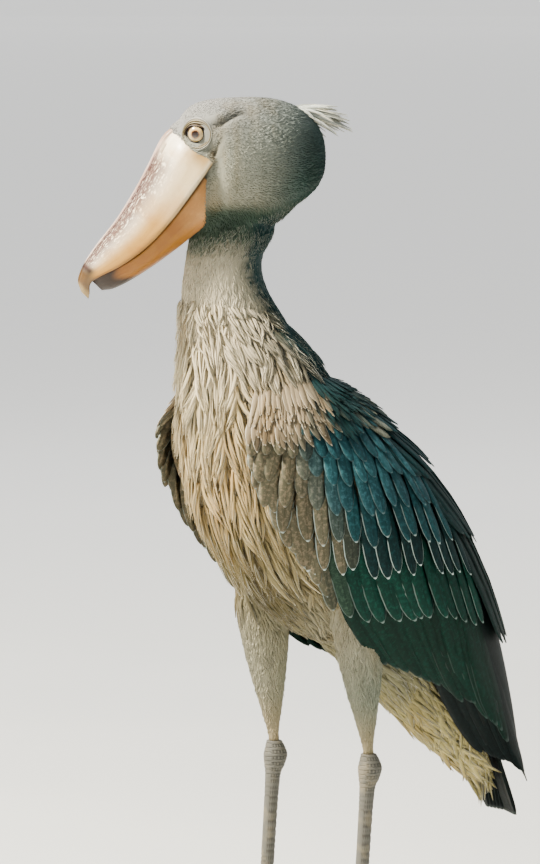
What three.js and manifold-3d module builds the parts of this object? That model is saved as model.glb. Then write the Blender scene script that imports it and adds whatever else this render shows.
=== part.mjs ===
// A shoebill, standing and still, at life size. Millimetres, +Z up. The bird faces -Y, its left side is +X,
// and the origin is on the ground between the feet. The head is turned to the bird's right, bill down.
import * as THREE from "three";
import { mergeVertices } from "three/addons/utils/BufferGeometryUtils.js";
import Module from "manifold-3d";

const wasm = await Module();
wasm.setup();

const { cos, sin, sqrt, abs, min, max, PI, hypot, sign } = Math;
const { clamp, degToRad, lerp, smoothstep } = THREE.MathUtils;

// Clearance between two nodes that meet.
const GAP = 0.3;
// Edges and slivers finer than this are left out of a solid.
const FINEST = 0.04;

// Where the head sits on the neck and how far it turns.
const HEAD = { x: 11.6, y: -107, z: 1016, turn: -22 };
// Half axes of the skull with its feathers, and the power of its outline: higher is squarer. The forehead is
// squarer, the back below is leaner, and the face narrows towards the bill.
const SKULL = { side: 66, front: 98, back: 97, up: 76, down: 88, power: 2.3 };
const FOREHEAD = 0.85;
const NAPE = 0.62;
const FACE = { cheekFront: 22, billFront: 84, brow: 0.12, gape: 0.28, browUp: 26 };
// The left eye: its place in the head frame, its radius, how far forward it looks, and the ring of its lids.
const EYE = { side: 37, front: 69.5, up: 30.5, radius: 13.5, lookFront: 20, lidRadius: 11.6, lidThick: 2.3 };
// The bill's own frame: its place in the head, and its slope below the horizon.
const BILL = { front: 68.7, up: -16.5, slope: 45 };

// Upper bill, along its length: distance, ridge height, height of the mouth line, half width.
const UPPER_BILL = [
  [-24, 57, -4, 50],
  [-1, 57.5, -7, 56],
  [33, 46.5, -12, 58],
  [68, 36, -17, 55],
  [110, 26.5, -19, 48],
  [148, 22, -14, 37],
  [176, 17, -6, 25],
  [190, 12, -5, 16],
  [199, 6, -13, 9],
  [205, -6, -18, 3],
];
// Lower bill: distance, height of the mouth line, height of its keel, half width.
const LOWER_BILL = [
  [0, -6.5, -72, 50],
  [22, -10, -64, 53],
  [48, -14, -56, 52],
  [85, -18, -51.5, 47],
  [120, -19, -46, 39],
  [152, -13, -37, 29],
  [174, -7, -28.5, 19],
  [186, -4, -20, 9],
];
// Half of the upper bill's section, from its ridge to its palate: shares of the half width and of the height.
const UPPER_SECTION = [
  [0, 1],
  [0.15, 0.98],
  [0.22, 0.9],
  [0.52, 0.82],
  [0.82, 0.58],
  [0.97, 0.27],
  [1, 0],
  [0.5, 0.02],
  [0, 0.02],
];
// Half of the lower bill's section, from the mouth line down to the keel.
const LOWER_SECTION = [
  [0, 1],
  [0.5, 1],
  [0.96, 1],
  [0.98, 0.66],
  [0.84, 0.3],
  [0.5, 0.05],
  [0, 0],
];
// A nostril is a slit beside the ridge at the base of the bill.
const NOSTRIL = { side: 13, front: 8, up: 51, length: 13, width: 3, height: 14 };

// Neck, from inside the head down to the breast: y, z, half width, half depth.
const NECK = [
  [-120, 975, 46, 54],
  [-123, 930, 50, 60],
  [-136, 890, 51, 54],
  [-136, 856, 56, 58],
  [-123, 812 + GAP, 68, 70],
];
// Torso, from the neck to the feathers under the tail: back y, back z, breast y, breast z, half width.
const TORSO = [
  [-53, 812, -193, 812, 68],
  [-22, 780, -189, 764, 88],
  [8, 735, -186, 716, 103],
  [50, 685, -181, 660, 116],
  [94, 630, -172, 602, 125],
  [134, 572, -149, 542, 126],
  [166, 508, -109, 482, 118],
  [192, 446, -56, 430, 104],
  [209, 394, 8, 394, 86],
  [222, 346, 75, 334, 68],
  [234, 300, 138, 274, 52],
  [244, 252, 196, 226, 36],
  [250, 212, 230, 198, 16],
];
// Folded wing, from the shoulder to its tip: y and z of its upper edge, y and z of its lower edge, the most
// that it stands out from the middle, and how far out its lower edge is.
const WING = [
  [22, 726, -148, 708, 114, 97],
  [55, 706, -166, 662, 132, 114],
  [91, 678, -149, 598, 148, 123],
  [128, 642, -99, 522, 157, 127],
  [176, 580, -39, 448, 153, 121],
  [218, 505, 33, 390, 136, 102],
  [246, 435, 102, 338, 113, 81],
  [270, 360, 168, 288, 86, 61],
  [288, 288, 230, 232, 60, 45],
  [299, 216, 290, 204, 34, 32],
];
// The wing is widest at this share of its depth, which is this share of the way round it.
const WING_WIDEST = { depth: 0.62, round: 0.7 };
// The two wings keep this far from the middle of the back.
const WING_APART = 2;
// Thickness of the folded wing over the body and at its tip, and how deep its core lies under the feathers.
const WING_THICK = { body: 25, tip: 5 };
const CORE = { depth: 7, firstShare: 0.04, fullShare: 0.14, length: 0.95, edge: 1, edgeAtEnd: 0.66 };

// The wing's tiers of feathers, from the shoulder to the tip. A place on the wing is two shares: from the
// shoulder to the tip, and from the back to the lower edge. Each row gives: count, half width, the places of
// the roots of the front and of the back feather, the places of their tips, the height over the wing's face at
// the root and at the tip, and how much higher the tip of each next one lies.
const WING_TIERS = [
  [4, 19, [0.03, 0.42], [0.02, 0.17], [0.24, 0.4], [0.27, 0.18], -10, -1, 0],
  [4, 20, [0.18, 0.37], [0.18, 0.17], [0.42, 0.32], [0.46, 0.18], -10, -1, 0],
  [3, 21, [0.36, 0.31], [0.36, 0.19], [0.66, 0.42], [0.72, 0.28], -10, -1, 1],
  [6, 15, [0.08, 0.9], [0.15, 0.5], [0.23, 0.89], [0.34, 0.48], -10, -1, 0],
  [8, 14, [0.2, 0.9], [0.35, 0.41], [0.335, 0.88], [0.52, 0.41], -10, -1, 0],
  [8, 15, [0.29, 0.91], [0.45, 0.45], [0.47, 0.93], [0.63, 0.5], -10, -1, 0],
  [7, 17, [0.38, 0.93], [0.54, 0.5], [0.58, 1.02], [0.86, 0.72], -12, -3, 1.2],
  [4, 14, [0.62, 0.82], [0.62, 0.5], [0.84, 1.02], [1.02, 0.6], -13, -6, 1.5],
];
// A wing feather's thickness, and its slant up from the feather behind it.
const VANE = { thick: 1, slant: 0.27 };
// Half width of a feather along its length, as shares: broad feathers, and those up to a half width.
const BROAD = { shares: [0, 0.45, 0.8, 0.95, 1], widths: [0.6, 1, 0.92, 0.6, 0.25] };
const NARROW = { upTo: 15, shares: [0, 0.5, 0.86, 1], widths: [0.65, 1, 0.82, 0.3] };

// Tail: y and z where it leaves the body and at its tip; twelve feathers, the middle ones on top.
const TAIL = { rootY: 222, rootZ: 362, tipY: 283, tipZ: 160, count: 12, half: 11, spread: 6.2, stack: 1.6 };
const TAIL_CORE = { end: 0.3, half: 15, thick: 16 };

// Crest at the nape, in the head frame: narrow pointed feathers that fan out from a pad on the skull.
const CREST = { front: -60, up: 55, length: 58, droop: 20, half: 4, thick: 1.4 };
const CREST_PAD = { halfX: 11, halfY: 13, halfZ: 9 };
const CREST_FAN = { rows: 3, inRow: 3, sideways: 15, upwards: 12 };

// Long pointed plumes on the breast: rows down the breast, plumes in a row, and their reach.
const PLUMES = { rows: 6, inRow: 4, first: 0.02, last: 0.36, around: 55, reach: 0.14, half: 8.5, thick: 1.3 };
// Loose feathers under the tail.
const VENT = { rows: 3, inRow: 3, first: 0.66, last: 0.84, around: 50, reach: 0.13, half: 13, thick: 1.6 };
// A plume's half width along its length, as shares, and its height over the body at root and tip.
const PLUME_SHARES = [0, 0.35, 0.75, 1];
const PLUME_WIDTHS = [0.7, 1, 0.7, 0.14];
const PLUME_LIFT = { root: -6, tip: 7 };

// Feathered thigh and shank down to the heel: y, z, half width, half depth; the left one is set further back.
const SHANK = [
  [0, 500, 30, 40],
  [0, 450, 32, 38],
  [2, 420, 32, 36],
  [4, 390, 29, 32],
  [8, 350, 23, 25],
  [12, 310, 16, 17],
  [15, 278, 10.5, 11],
  [17, 262, 10, 10.5],
];
const LEG = { leftX: 76, leftY: 12, rightX: -76, rightY: -37 };
// Bare shank from the heel to the foot: y, z, half width, half depth.
const TARSUS = [
  [17, 262 - GAP, 10, 10.5],
  [19, 250, 14, 16],
  [17, 236, 12, 13],
  [14, 215, 9, 9.5],
  [8, 130, 8, 8.5],
  [2, 50, 8.5, 9],
  [0, 30, 12, 12],
  [-1, 12, 14, 14],
  [-1, 4, 10, 10],
];
// Toes: name, angle from straight ahead towards the outside, length, radius at the root and at the tip.
// Each one gives way at its root to those before it.
const TOES = [
  ["middle", 2, 152, 8.8, 5.2],
  ["inner", -27, 116, 8.2, 5],
  ["outer", 33, 122, 8.2, 5],
  ["hind", 172, 72, 7.6, 5],
];
const CLAW = { length: 21, radius: 4.2, rise: 3 };

const COLOURS = {
  feather: 0x8f9296,
  wing: 0x33474f,
  horn: 0xd9b98c,
  jaw: 0xc9964f,
  eye: 0xe9dfc0,
  leg: 0x4c4a46,
  claw: 0x2a2724,
};

// Every number of the stations at t from 0 to 1, on a smooth curve through them and straight on past the end.
function along(stations, t) {
  const last = stations.length - 1;
  const at = clamp(t, 0, 1) * last;
  const i = min(Math.floor(at), last - 1);
  const f = at - i;
  const beyond = (t - clamp(t, 0, 1)) * last;
  return stations[i].map((p1, k) => {
    const p2 = stations[i + 1][k];
    const p0 = i > 0 ? stations[i - 1][k] : 2 * p1 - p2;
    const p3 = i + 2 <= last ? stations[i + 2][k] : 2 * p2 - p1;
    const bend = 2 * p0 - 5 * p1 + 4 * p2 - p3 + f * (3 * (p1 - p2) + p3 - p0);
    return p1 + 0.5 * f * (p2 - p0 + f * bend) + beyond * (p2 - p1);
  });
}

// A three.js geometry with its vertices merged and moved to where place says.
function shaped(geometry, place) {
  geometry.deleteAttribute("normal");
  geometry.deleteAttribute("uv");
  const merged = mergeVertices(geometry);
  const position = merged.attributes.position;
  const point = new THREE.Vector3();
  for (let i = 0; i < position.count; i++) {
    const placed = place(point.fromBufferAttribute(position, i));
    position.setXYZ(i, placed[0], placed[1], placed[2]);
  }
  return merged;
}

// A closed geometry as a solid, turned right side out if a mirrored place function turned it.
function solid(geometry) {
  const triVerts = new Uint32Array(geometry.index.array);
  const vertProperties = geometry.attributes.position.array;
  const made = new wasm.Manifold(new wasm.Mesh({ numProp: 3, vertProperties, triVerts }));
  if (made.volume() > 0) return made;
  for (let i = 0; i < triVerts.length; i += 3) {
    const second = triVerts[i + 1];
    triVerts[i + 1] = triVerts[i + 2];
    triVerts[i + 2] = second;
  }
  return new wasm.Manifold(new wasm.Mesh({ numProp: 3, vertProperties, triVerts }));
}

// A closed tube of round sections: place gives a point for the angle, the share of the length and the share
// of the radius, which is 0 at the middle of an end.
function tube(around, lengthwise, place) {
  const cylinder = new THREE.CylinderGeometry(1, 1, 1, around, lengthwise);
  return solid(shaped(cylinder, (p) => place(Math.atan2(p.x, p.z), 0.5 - p.y, min(1, hypot(p.x, p.z)))));
}

// A feather as a thin flat solid. Its route gives, for a share of its length, a point of its middle line, the
// way across it and the way out of it. Both faces are split into triangles along the same lines.
function vane(shares, widths, half, thick, route) {
  const steps = shares.length - 1;
  const corner = Math.SQRT1_2;
  const blade = new THREE.CylinderGeometry(1, 1, 1, 4, steps, false, PI / 4);
  const index = blade.index.array;
  for (let i = 6 * steps; i < 12 * steps; i += 6) {
    const [a, b, d, , c] = index.slice(i, i + 6);
    index.set([a, b, c, a, c, d], i);
  }
  return solid(
    shaped(blade, (p) => {
      const k = Math.round((0.5 - p.y) * steps);
      const { at, across, out } = route(shares[k]);
      at.addScaledVector(across, (p.x / corner) * half * widths[k]);
      at.addScaledVector(out, ((p.z / corner) * thick) / 2);
      return [at.x, at.y, at.z];
    }),
  );
}

// The route of a feather whose middle line is a function of the share of its length, over a surface whose
// outward way is out; slant tips it sideways.
function route(line, out, slant = 0) {
  return (q) => {
    const at = line(q);
    const way = line(q + 0.01).sub(line(q - 0.01));
    const facing = out(q);
    const across = new THREE.Vector3().crossVectors(facing, way).normalize();
    across.addScaledVector(facing, slant);
    return { at, across, out: facing };
  };
}

// A repeatable draw from 0 to 1.
let drawn = 11;
function draw() {
  drawn = (drawn * 16807) % 2147483647;
  return drawn / 2147483647;
}

// A solid's largest closed surface, with edges too short to matter taken out.
const largest = (made) =>
  made
    .simplify(FINEST)
    .decompose()
    .sort((a, b) => b.volume() - a.volume())[0];

const union = (solids) => wasm.Manifold.union(solids);

// The solid moved as a three.js object's matrix says.
const moved = (made, object) => {
  object.updateWorldMatrix(true, false);
  return made.transform(object.matrixWorld.elements);
};

// A named mesh of a solid.
function node(name, made, colour, roughness = 0.8) {
  const mesh = made.getMesh();
  const geometry = new THREE.BufferGeometry();
  geometry.setAttribute("position", new THREE.BufferAttribute(new Float32Array(mesh.vertProperties), 3));
  geometry.setIndex(new THREE.BufferAttribute(new Uint32Array(mesh.triVerts), 1));
  geometry.computeVertexNormals();
  const material = new THREE.MeshStandardMaterial({ color: colour, roughness, metalness: 0 });
  const made3 = new THREE.Mesh(geometry, material);
  made3.name = name;
  return made3;
}

// A point of the skull's surface in the direction of a unit vector, in the head frame.
function skullPoint(x, y, z, grow) {
  const { side, front, back, up, down, power } = SKULL;
  const forehead = FOREHEAD * smoothstep(-y, 0, 0.8) * smoothstep(z, 0, 0.8);
  const nape = NAPE * smoothstep(y, 0, 0.8) * smoothstep(-z, 0, 0.8);
  const square = power + forehead - nape;
  const sideways = abs(x / side) ** square;
  const lengthwise = abs(y / (y < 0 ? front : back)) ** square;
  const upright = abs(z / (z > 0 ? up : down)) ** square;
  const size = (sideways + lengthwise + upright) ** (-1 / square);
  const narrowing = lerp(FACE.gape, FACE.brow, smoothstep(z * size, 0, FACE.browUp));
  const slim = 1 - narrowing * smoothstep(-y * size, FACE.cheekFront, FACE.billFront);
  return [x * (size * slim + grow), y * (size + grow), z * (size + grow)];
}

const skull = (grow = 0) =>
  solid(shaped(new THREE.SphereGeometry(1, 24, 14), (p) => skullPoint(p.x, p.y, p.z, grow)));

// The eye's place on either side, and its ball.
function eyeBall(side, radius) {
  const ball = new THREE.SphereGeometry(radius, 14, 8);
  return solid(shaped(ball, (p) => [p.x + side * EYE.side, p.y - EYE.front, p.z + EYE.up]));
}

// The ring of the lids, round the way that the eye looks and just clear of the ball.
function lids(side, grow = 0) {
  const { lidRadius, lidThick, lookFront, radius } = EYE;
  const turn = degToRad(lookFront);
  const out = new THREE.Vector3(side * cos(turn), -sin(turn), 0);
  const across = new THREE.Vector3(side * sin(turn), cos(turn), 0);
  const lift = sqrt((radius + lidThick * 0.8) ** 2 - lidRadius ** 2);
  return solid(
    shaped(new THREE.TorusGeometry(lidRadius, lidThick + grow, 5, 14), (p) => {
      const at = new THREE.Vector3(side * EYE.side, -EYE.front, EYE.up + p.y);
      at.addScaledVector(across, p.x).addScaledVector(out, p.z + lift);
      return [at.x, at.y, at.z];
    }),
  );
}

// A bill half as rings of its section, swept along its stations.
function billHalf(stations, section, steps, grow = 0) {
  const count = 2 * (section.length - 1);
  return tube(count, steps, (angle, t, r) => {
    const [distance, top, bottom, half] = along(stations, t);
    const k = Math.round(((angle + 2 * PI) / (2 * PI)) * count) % count;
    const [w, h] = section[k < section.length ? k : count - k];
    const mirrored = k < section.length ? 1 : -1;
    const middle = (top + bottom) / 2;
    const height = lerp(middle, lerp(bottom, top, h), r);
    return [mirrored * w * (half + grow) * r, -distance, height];
  });
}

function nostril(side) {
  const { front, up, length, width, height } = NOSTRIL;
  const slit = new THREE.BoxGeometry(width, length, height);
  return solid(shaped(slit, (p) => [p.x + side * NOSTRIL.side, p.y - front, p.z + up]));
}

const neck = () =>
  tube(20, 7, (angle, t, r) => {
    const [y, z, half, depth] = along(NECK, t);
    return [half * r * sin(angle), y - depth * r * cos(angle), z];
  });

// A point of the torso's surface: t from the neck to the vent, and the angle round from the breast.
function torsoPoint(t, angle, grow = 0, r = 1) {
  const [backY, backZ, breastY, breastZ, half] = along(TORSO, t);
  const length = hypot(backY - breastY, backZ - breastZ);
  const reach = ((length / 2 + grow) / length) * r * cos(angle);
  const y = (backY + breastY) / 2 - (backY - breastY) * reach;
  const z = (backZ + breastZ) / 2 - (backZ - breastZ) * reach;
  return new THREE.Vector3((half + grow) * r * sin(angle), y, z);
}

const torso = (grow = 0) => tube(20, 15, (angle, t, r) => torsoPoint(t, angle, grow, r).toArray());

// Rows of long feathers that hang over the torso.
function plumes({ rows, inRow, first, last, around, reach, half, thick }) {
  const made = [];
  for (let row = 0; row < rows; row++) {
    for (let k = 0; k < inRow; k++) {
      const shift = row % 2 ? 0.25 : -0.25;
      const angle = degToRad(around) * (((k + 0.5 + shift) / inRow) * 2 - 1 + 0.08 * (draw() - 0.5));
      const t = lerp(first, last, (row + 0.3 * draw()) / (rows - 1));
      const end = reach * (0.85 + 0.3 * draw());
      const lean = 0.12 * (draw() - 0.5);
      const rise = PLUME_LIFT.tip * (0.6 + 0.8 * draw());
      const line = (q) => torsoPoint(t + end * q, angle + lean * q, lerp(PLUME_LIFT.root, rise, q));
      const under = (q) => torsoPoint(t + end * q, angle);
      const out = (q) => torsoPoint(t + end * q, angle, 10).sub(under(q)).normalize();
      made.push(vane(PLUME_SHARES, PLUME_WIDTHS, half * (0.8 + 0.4 * draw()), thick, route(line, out)));
    }
  }
  return made;
}

// A point of the folded wing's outer face: s from shoulder to tip, t from the back to the lower edge.
function wingFace(s, t) {
  const [upperY, upperZ, lowerY, lowerZ, half, lowerX] = along(WING, s);
  const { depth, round } = WING_WIDEST;
  const turn = (clamp(t, 0, round) / round) * (PI / 2);
  const past = max(0, t - round) / (1 - round);
  const down = t < round ? depth * (1 - cos(turn)) : depth + (1 - depth) * past;
  const x = t < round ? half * sin(turn) : half + (lowerX - half) * past ** 1.6;
  return new THREE.Vector3(WING_APART + x, lerp(upperY, lowerY, down), lerp(upperZ, lowerZ, down));
}

// The wing face, its way towards the tip, its way towards the lower edge, and its outward normal.
function wingFrame(s, t) {
  const step = 0.004;
  const at = wingFace(s, t);
  const toTip = wingFace(s + step, t).sub(wingFace(s - step, t)).divideScalar(2 * step);
  const toEdge = wingFace(s, t + step).sub(wingFace(s, t - step)).divideScalar(2 * step);
  const out = new THREE.Vector3().crossVectors(toEdge, toTip).normalize();
  if (out.dot(new THREE.Vector3(1, 0.4, 0)) < 0) out.negate();
  return { at, toTip, toEdge, out };
}

// The wing's core: a shell from under its outer face inwards, which ends inside the feathers.
function wingCore(side) {
  const { depth, firstShare, fullShare, length, edge, edgeAtEnd } = CORE;
  return tube(12, 11, (angle, t, r) => {
    const s = 0.01 + (length - 0.01) * t;
    const across = 0.5 - 0.5 * cos(angle);
    const lowest = lerp(edge, edgeAtEnd, smoothstep(s, 0.35, length));
    const { at, out } = wingFrame(s, 0.03 + (lowest - 0.04) * across);
    const under = depth * smoothstep(s, firstShare, fullShare);
    const full = lerp(WING_THICK.body, WING_THICK.tip, smoothstep(s, 0.45, 0.8)) - under;
    const thick = full * sqrt(sin(PI * clamp(0.04 + 0.93 * t, 0, 1)));
    const inward = -(thick / 2) * (1 - sign(sin(angle)) * sqrt(abs(sin(angle)))) - under;
    const middle = wingFrame(s, 0.5);
    const p = at.addScaledVector(out, inward);
    p.lerp(middle.at.clone().addScaledVector(middle.out, -under - thick / 2), 1 - r);
    return [side * p.x, p.y, p.z];
  });
}

// The feathers of one tier of the wing.
function wingTier(side, [count, half, rootFront, rootBack, tipFront, tipBack, rootLift, tipLift, stack]) {
  const { shares, widths } = half <= NARROW.upTo ? NARROW : BROAD;
  const made = [];
  for (let k = 0; k < count; k++) {
    const back = k / (count - 1);
    const root = [0, 1].map((i) => lerp(rootFront[i], rootBack[i], back));
    const tip = [0, 1].map((i) => lerp(tipFront[i], tipBack[i], back));
    const place = (q) => [lerp(root[0], tip[0], q), lerp(root[1], tip[1], q)];
    const longer = 1 + 0.05 * (draw() - 0.5);
    const line = (q) => {
      const { at, out } = wingFrame(...place(q * longer));
      return at.addScaledVector(out, lerp(rootLift, tipLift, q) + stack * k * q);
    };
    const out = (q) => wingFrame(...place(q)).out;
    const feather = vane(shares, widths, half, VANE.thick, route(line, out, -VANE.slant));
    made.push(side > 0 ? feather : feather.mirror([1, 0, 0]));
  }
  return made;
}

const wing = (side) => union([wingCore(side), ...WING_TIERS.flatMap((tier) => wingTier(side, tier))]);

// The tail fans out from a core at its root, with each pair of feathers under the one before.
function tail() {
  const { rootY, rootZ, tipY, tipZ, count, half, spread, stack } = TAIL;
  const back = new THREE.Vector3(0, rootZ - tipZ, tipY - rootY).normalize();
  const core = tube(10, 4, (angle, t, r) => {
    const q = TAIL_CORE.end * t;
    const lift = (TAIL_CORE.thick / 2) * (1 - 0.7 * t) * r * cos(angle) - TAIL_CORE.thick * 0.4;
    return [TAIL_CORE.half * r * sin(angle), lerp(rootY, tipY, q) + lift, lerp(rootZ, tipZ, q)];
  });
  const feathers = [];
  for (let k = 0; k < count; k++) {
    const aside = k - (count - 1) / 2;
    const under = -stack * (abs(aside) + (aside > 0 ? 0.5 : 0));
    const line = (q) => {
      const at = new THREE.Vector3(aside * lerp(1.6, spread, q), lerp(rootY, tipY, q), lerp(rootZ, tipZ, q));
      at.z += 0.6 * q * abs(aside);
      return at.addScaledVector(back, under);
    };
    feathers.push(vane(BROAD.shares, BROAD.widths, half, VANE.thick, route(line, () => back)));
  }
  return union([core, ...feathers]);
}

// The crest fans out backwards and down from its pad.
function crest() {
  const { front, up, length, droop, half, thick } = CREST;
  const { halfX, halfY, halfZ } = CREST_PAD;
  const pad = solid(
    shaped(new THREE.SphereGeometry(1, 8, 6), (p) => [halfX * p.x, halfY * p.y - front, halfZ * p.z + up]),
  );
  const feathers = [];
  const upwards = new THREE.Vector3(0, 0, 1);
  for (let row = 0; row < CREST_FAN.rows; row++) {
    for (let k = 0; k < CREST_FAN.inRow; k++) {
      const aside = 2 * (k / (CREST_FAN.inRow - 1)) - 1 + (row % 2 ? 0.3 : -0.3);
      const height = row - (CREST_FAN.rows - 1) / 2;
      const reach = length * (0.75 + 0.35 * draw());
      const sag = droop * (0.7 + 0.6 * draw());
      const line = (q) => {
        const x = aside * lerp(halfX * 0.5, CREST_FAN.sideways, q);
        const z = up + height * lerp(3, CREST_FAN.upwards, q) - sag * q ** 3;
        return new THREE.Vector3(x, -front + reach * q, z);
      };
      feathers.push(vane(PLUME_SHARES, PLUME_WIDTHS, half, thick, route(line, () => upwards)));
    }
  }
  return union([pad, ...feathers]);
}

const limb = (stations, around, steps, grow = 0) =>
  tube(around, steps, (angle, t, r) => {
    const [y, z, half, depth] = along(stations, t);
    return [(half + grow) * r * sin(angle), y - (depth + grow) * r * cos(angle), z];
  });

// A toe lies on the ground from the foot's hub, straight along -Y before it is turned.
const toe = (length, root, tip, grow = 0) =>
  tube(7, 5, (angle, t, r) => {
    const radius = lerp(root, tip, t) * (1 + 0.06 * cos(6 * PI * t)) + grow;
    const end = t > 0.95 ? 0.8 : 1;
    return [radius * end * r * sin(angle), -length * t, radius * 0.82 + radius * end * r * cos(angle)];
  }).trimByPlane([0, 0, 1], 0);

const claw = (length, tip) =>
  tube(6, 3, (angle, t, r) => {
    const radius = CLAW.radius * (1.04 - t);
    const z = tip * 0.82 + CLAW.rise * sin(PI * t * 0.7) - 1.5 * t;
    return [radius * r * sin(angle), -length + 5 - (CLAW.length + 5) * t, z + radius * r * cos(angle)];
  }).trimByPlane([0, 0, 1], 0);

const bird = new THREE.Group();

const head = new THREE.Group();
head.position.set(HEAD.x, HEAD.y, HEAD.z);
head.rotation.z = degToRad(HEAD.turn);
bird.add(head);

const bill = new THREE.Group();
bill.position.set(0, -BILL.front, BILL.up);
bill.rotation.x = degToRad(BILL.slope);
head.add(bill);
bill.updateMatrix();

// Head: the skull with its lid rings and eye sockets, and a crest at the nape.
const sockets = union([eyeBall(1, EYE.radius + GAP), eyeBall(-1, EYE.radius + GAP)]);
const headSolid = union([skull(), lids(1), lids(-1)]).subtract(sockets);
head.add(node("head", largest(headSolid), COLOURS.feather));
for (const [name, side] of [["left", 1], ["right", -1]]) {
  head.add(node("eye_" + name, eyeBall(side, EYE.radius), COLOURS.eye, 0.1));
}
head.add(node("crest", largest(crest().subtract(skull(GAP))), COLOURS.feather));

// Bill: each half starts inside the face and is cut by the skull.
const face = union([skull(GAP), lids(1, GAP), lids(-1, GAP), sockets]);
const faceInBill = face.transform(bill.matrix.clone().invert().elements);
const upperBill = billHalf(UPPER_BILL, UPPER_SECTION, 13).subtract(union([nostril(1), nostril(-1)]));
const lowerBill = billHalf(LOWER_BILL, LOWER_SECTION, 9);
const shut = billHalf(UPPER_BILL, UPPER_SECTION, 13, GAP).translate([0, 0, -2 * GAP]);
bill.add(node("bill_upper", largest(upperBill.subtract(faceInBill)), COLOURS.horn, 0.4));
bill.add(node("bill_lower", largest(lowerBill.subtract(shut).subtract(faceInBill)), COLOURS.jaw, 0.45));

// Neck and torso.
const headInBody = moved(skull(GAP), head);
const lowerBillInBody = moved(billHalf(LOWER_BILL, LOWER_SECTION, 9, GAP), bill);
bird.add(node("neck", largest(neck().subtract(headInBody).subtract(lowerBillInBody)), COLOURS.feather));
const plumed = union([torso(), ...plumes(PLUMES), ...plumes(VENT)]);
bird.add(node("torso", largest(plumed), COLOURS.feather));

// Wings, tail, legs and feet.
const bodyCut = torso(GAP);
for (const [name, side] of [["left", 1], ["right", -1]]) {
  const thigh = limb(SHANK, 14, 8, GAP).translate([LEG[name + "X"], LEG[name + "Y"], 0]);
  const cut = wing(side).subtract(bodyCut).subtract(thigh).trimByPlane([side, 0, 0], GAP);
  bird.add(node("wing_" + name, largest(cut), COLOURS.wing));
}
bird.add(node("tail", largest(tail().subtract(bodyCut)), COLOURS.wing));

for (const [name, side] of [["left", 1], ["right", -1]]) {
  const leg = new THREE.Group();
  leg.position.set(LEG[name + "X"], LEG[name + "Y"], 0);
  bird.add(leg);
  const toLeg = [-leg.position.x, -leg.position.y, 0];
  const shank = limb(SHANK, 14, 8).subtract(bodyCut.translate(toLeg));
  leg.add(node("shank_" + name, largest(shank), COLOURS.feather));
  leg.add(node("tarsus_" + name, limb(TARSUS, 9, 10), COLOURS.leg, 0.6));
  const hub = limb(TARSUS, 9, 10, GAP);
  let taken = union([hub, hub.translate([0, 0, -GAP])]);
  for (const [toeName, angle, length, root, tip] of TOES) {
    const turned = (made) => made.rotate([0, 0, side * angle]);
    const shaft = turned(toe(length, root, tip)).subtract(taken);
    leg.add(node(`toe_${toeName}_${name}`, largest(shaft), COLOURS.leg, 0.6));
    const room = toe(length, root, tip, GAP);
    taken = taken.add(turned(room));
    const nail = claw(length, tip).subtract(room.add(toe(length + GAP, root, tip, GAP)));
    leg.add(node(`claw_${toeName}_${name}`, largest(turned(nail)), COLOURS.claw, 0.4));
  }
}

// The whole bird stands with the middle of its box over the origin.
const part = new THREE.Group();
part.add(bird);
const middle = new THREE.Box3().setFromObject(bird, true).getCenter(new THREE.Vector3());
bird.position.set(-middle.x, -middle.y, 0);

export default part;
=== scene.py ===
"""A shoebill at life size, standing at rest with its bill held down to one side, dressed over its solids."""

import bpy
import numpy as np
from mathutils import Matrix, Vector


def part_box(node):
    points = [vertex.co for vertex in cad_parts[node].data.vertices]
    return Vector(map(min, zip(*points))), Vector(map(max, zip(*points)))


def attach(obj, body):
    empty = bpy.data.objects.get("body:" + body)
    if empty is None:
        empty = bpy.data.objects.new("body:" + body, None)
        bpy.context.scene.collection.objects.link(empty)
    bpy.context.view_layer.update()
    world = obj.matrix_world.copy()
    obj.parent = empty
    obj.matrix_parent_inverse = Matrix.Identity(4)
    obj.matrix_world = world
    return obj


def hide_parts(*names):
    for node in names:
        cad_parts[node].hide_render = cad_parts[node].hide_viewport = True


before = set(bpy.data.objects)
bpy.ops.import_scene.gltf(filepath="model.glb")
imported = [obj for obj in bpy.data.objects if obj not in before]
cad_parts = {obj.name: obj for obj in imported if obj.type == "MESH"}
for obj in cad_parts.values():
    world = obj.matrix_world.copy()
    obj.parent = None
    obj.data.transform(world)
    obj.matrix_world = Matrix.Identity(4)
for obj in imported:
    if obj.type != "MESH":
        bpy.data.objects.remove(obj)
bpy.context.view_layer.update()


# The view, the floor and the studio. The camera stands where the photographer stood, at the bird's left and
# front, a little above its back. Lengths are metres in the bird's own frame, whose origin is on the ground
# between the feet; STAND is where that point is in the scene, found from the ball of the left eye.
HEAD_AT = np.array([0.0116, -0.107, 1.016])
HEAD_TURN = np.radians(-22)
HEAD_AXES = np.array(
    [[np.cos(HEAD_TURN), -np.sin(HEAD_TURN), 0], [np.sin(HEAD_TURN), np.cos(HEAD_TURN), 0], [0, 0, 1]]
)
EYE_AT = np.array([0.037, -0.0695, 0.0305])


def in_head(points):
    """Points of the head's frame (side, forward negative, up), turned about the vertical and set on the neck."""
    return HEAD_AT + np.asarray(points) @ HEAD_AXES.T


STAND = (np.mean(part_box("eye_left"), axis=0) - in_head(EYE_AT)) * [1, 1, 0]

CAMERA_TURN = np.radians(60)
CAMERA_RISE = np.radians(6)
CAMERA_REACH = 7.0
LOOK_AT = STAND + [0, -0.0704, 0.670]
VIEW_HEIGHT = 1.08

away = np.array(
    [
        np.sin(CAMERA_TURN) * np.cos(CAMERA_RISE),
        -np.cos(CAMERA_TURN) * np.cos(CAMERA_RISE),
        np.sin(CAMERA_RISE),
    ]
)
rightward = np.array([np.cos(CAMERA_TURN), np.sin(CAMERA_TURN), 0])
upward = np.cross(away, rightward)


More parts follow.
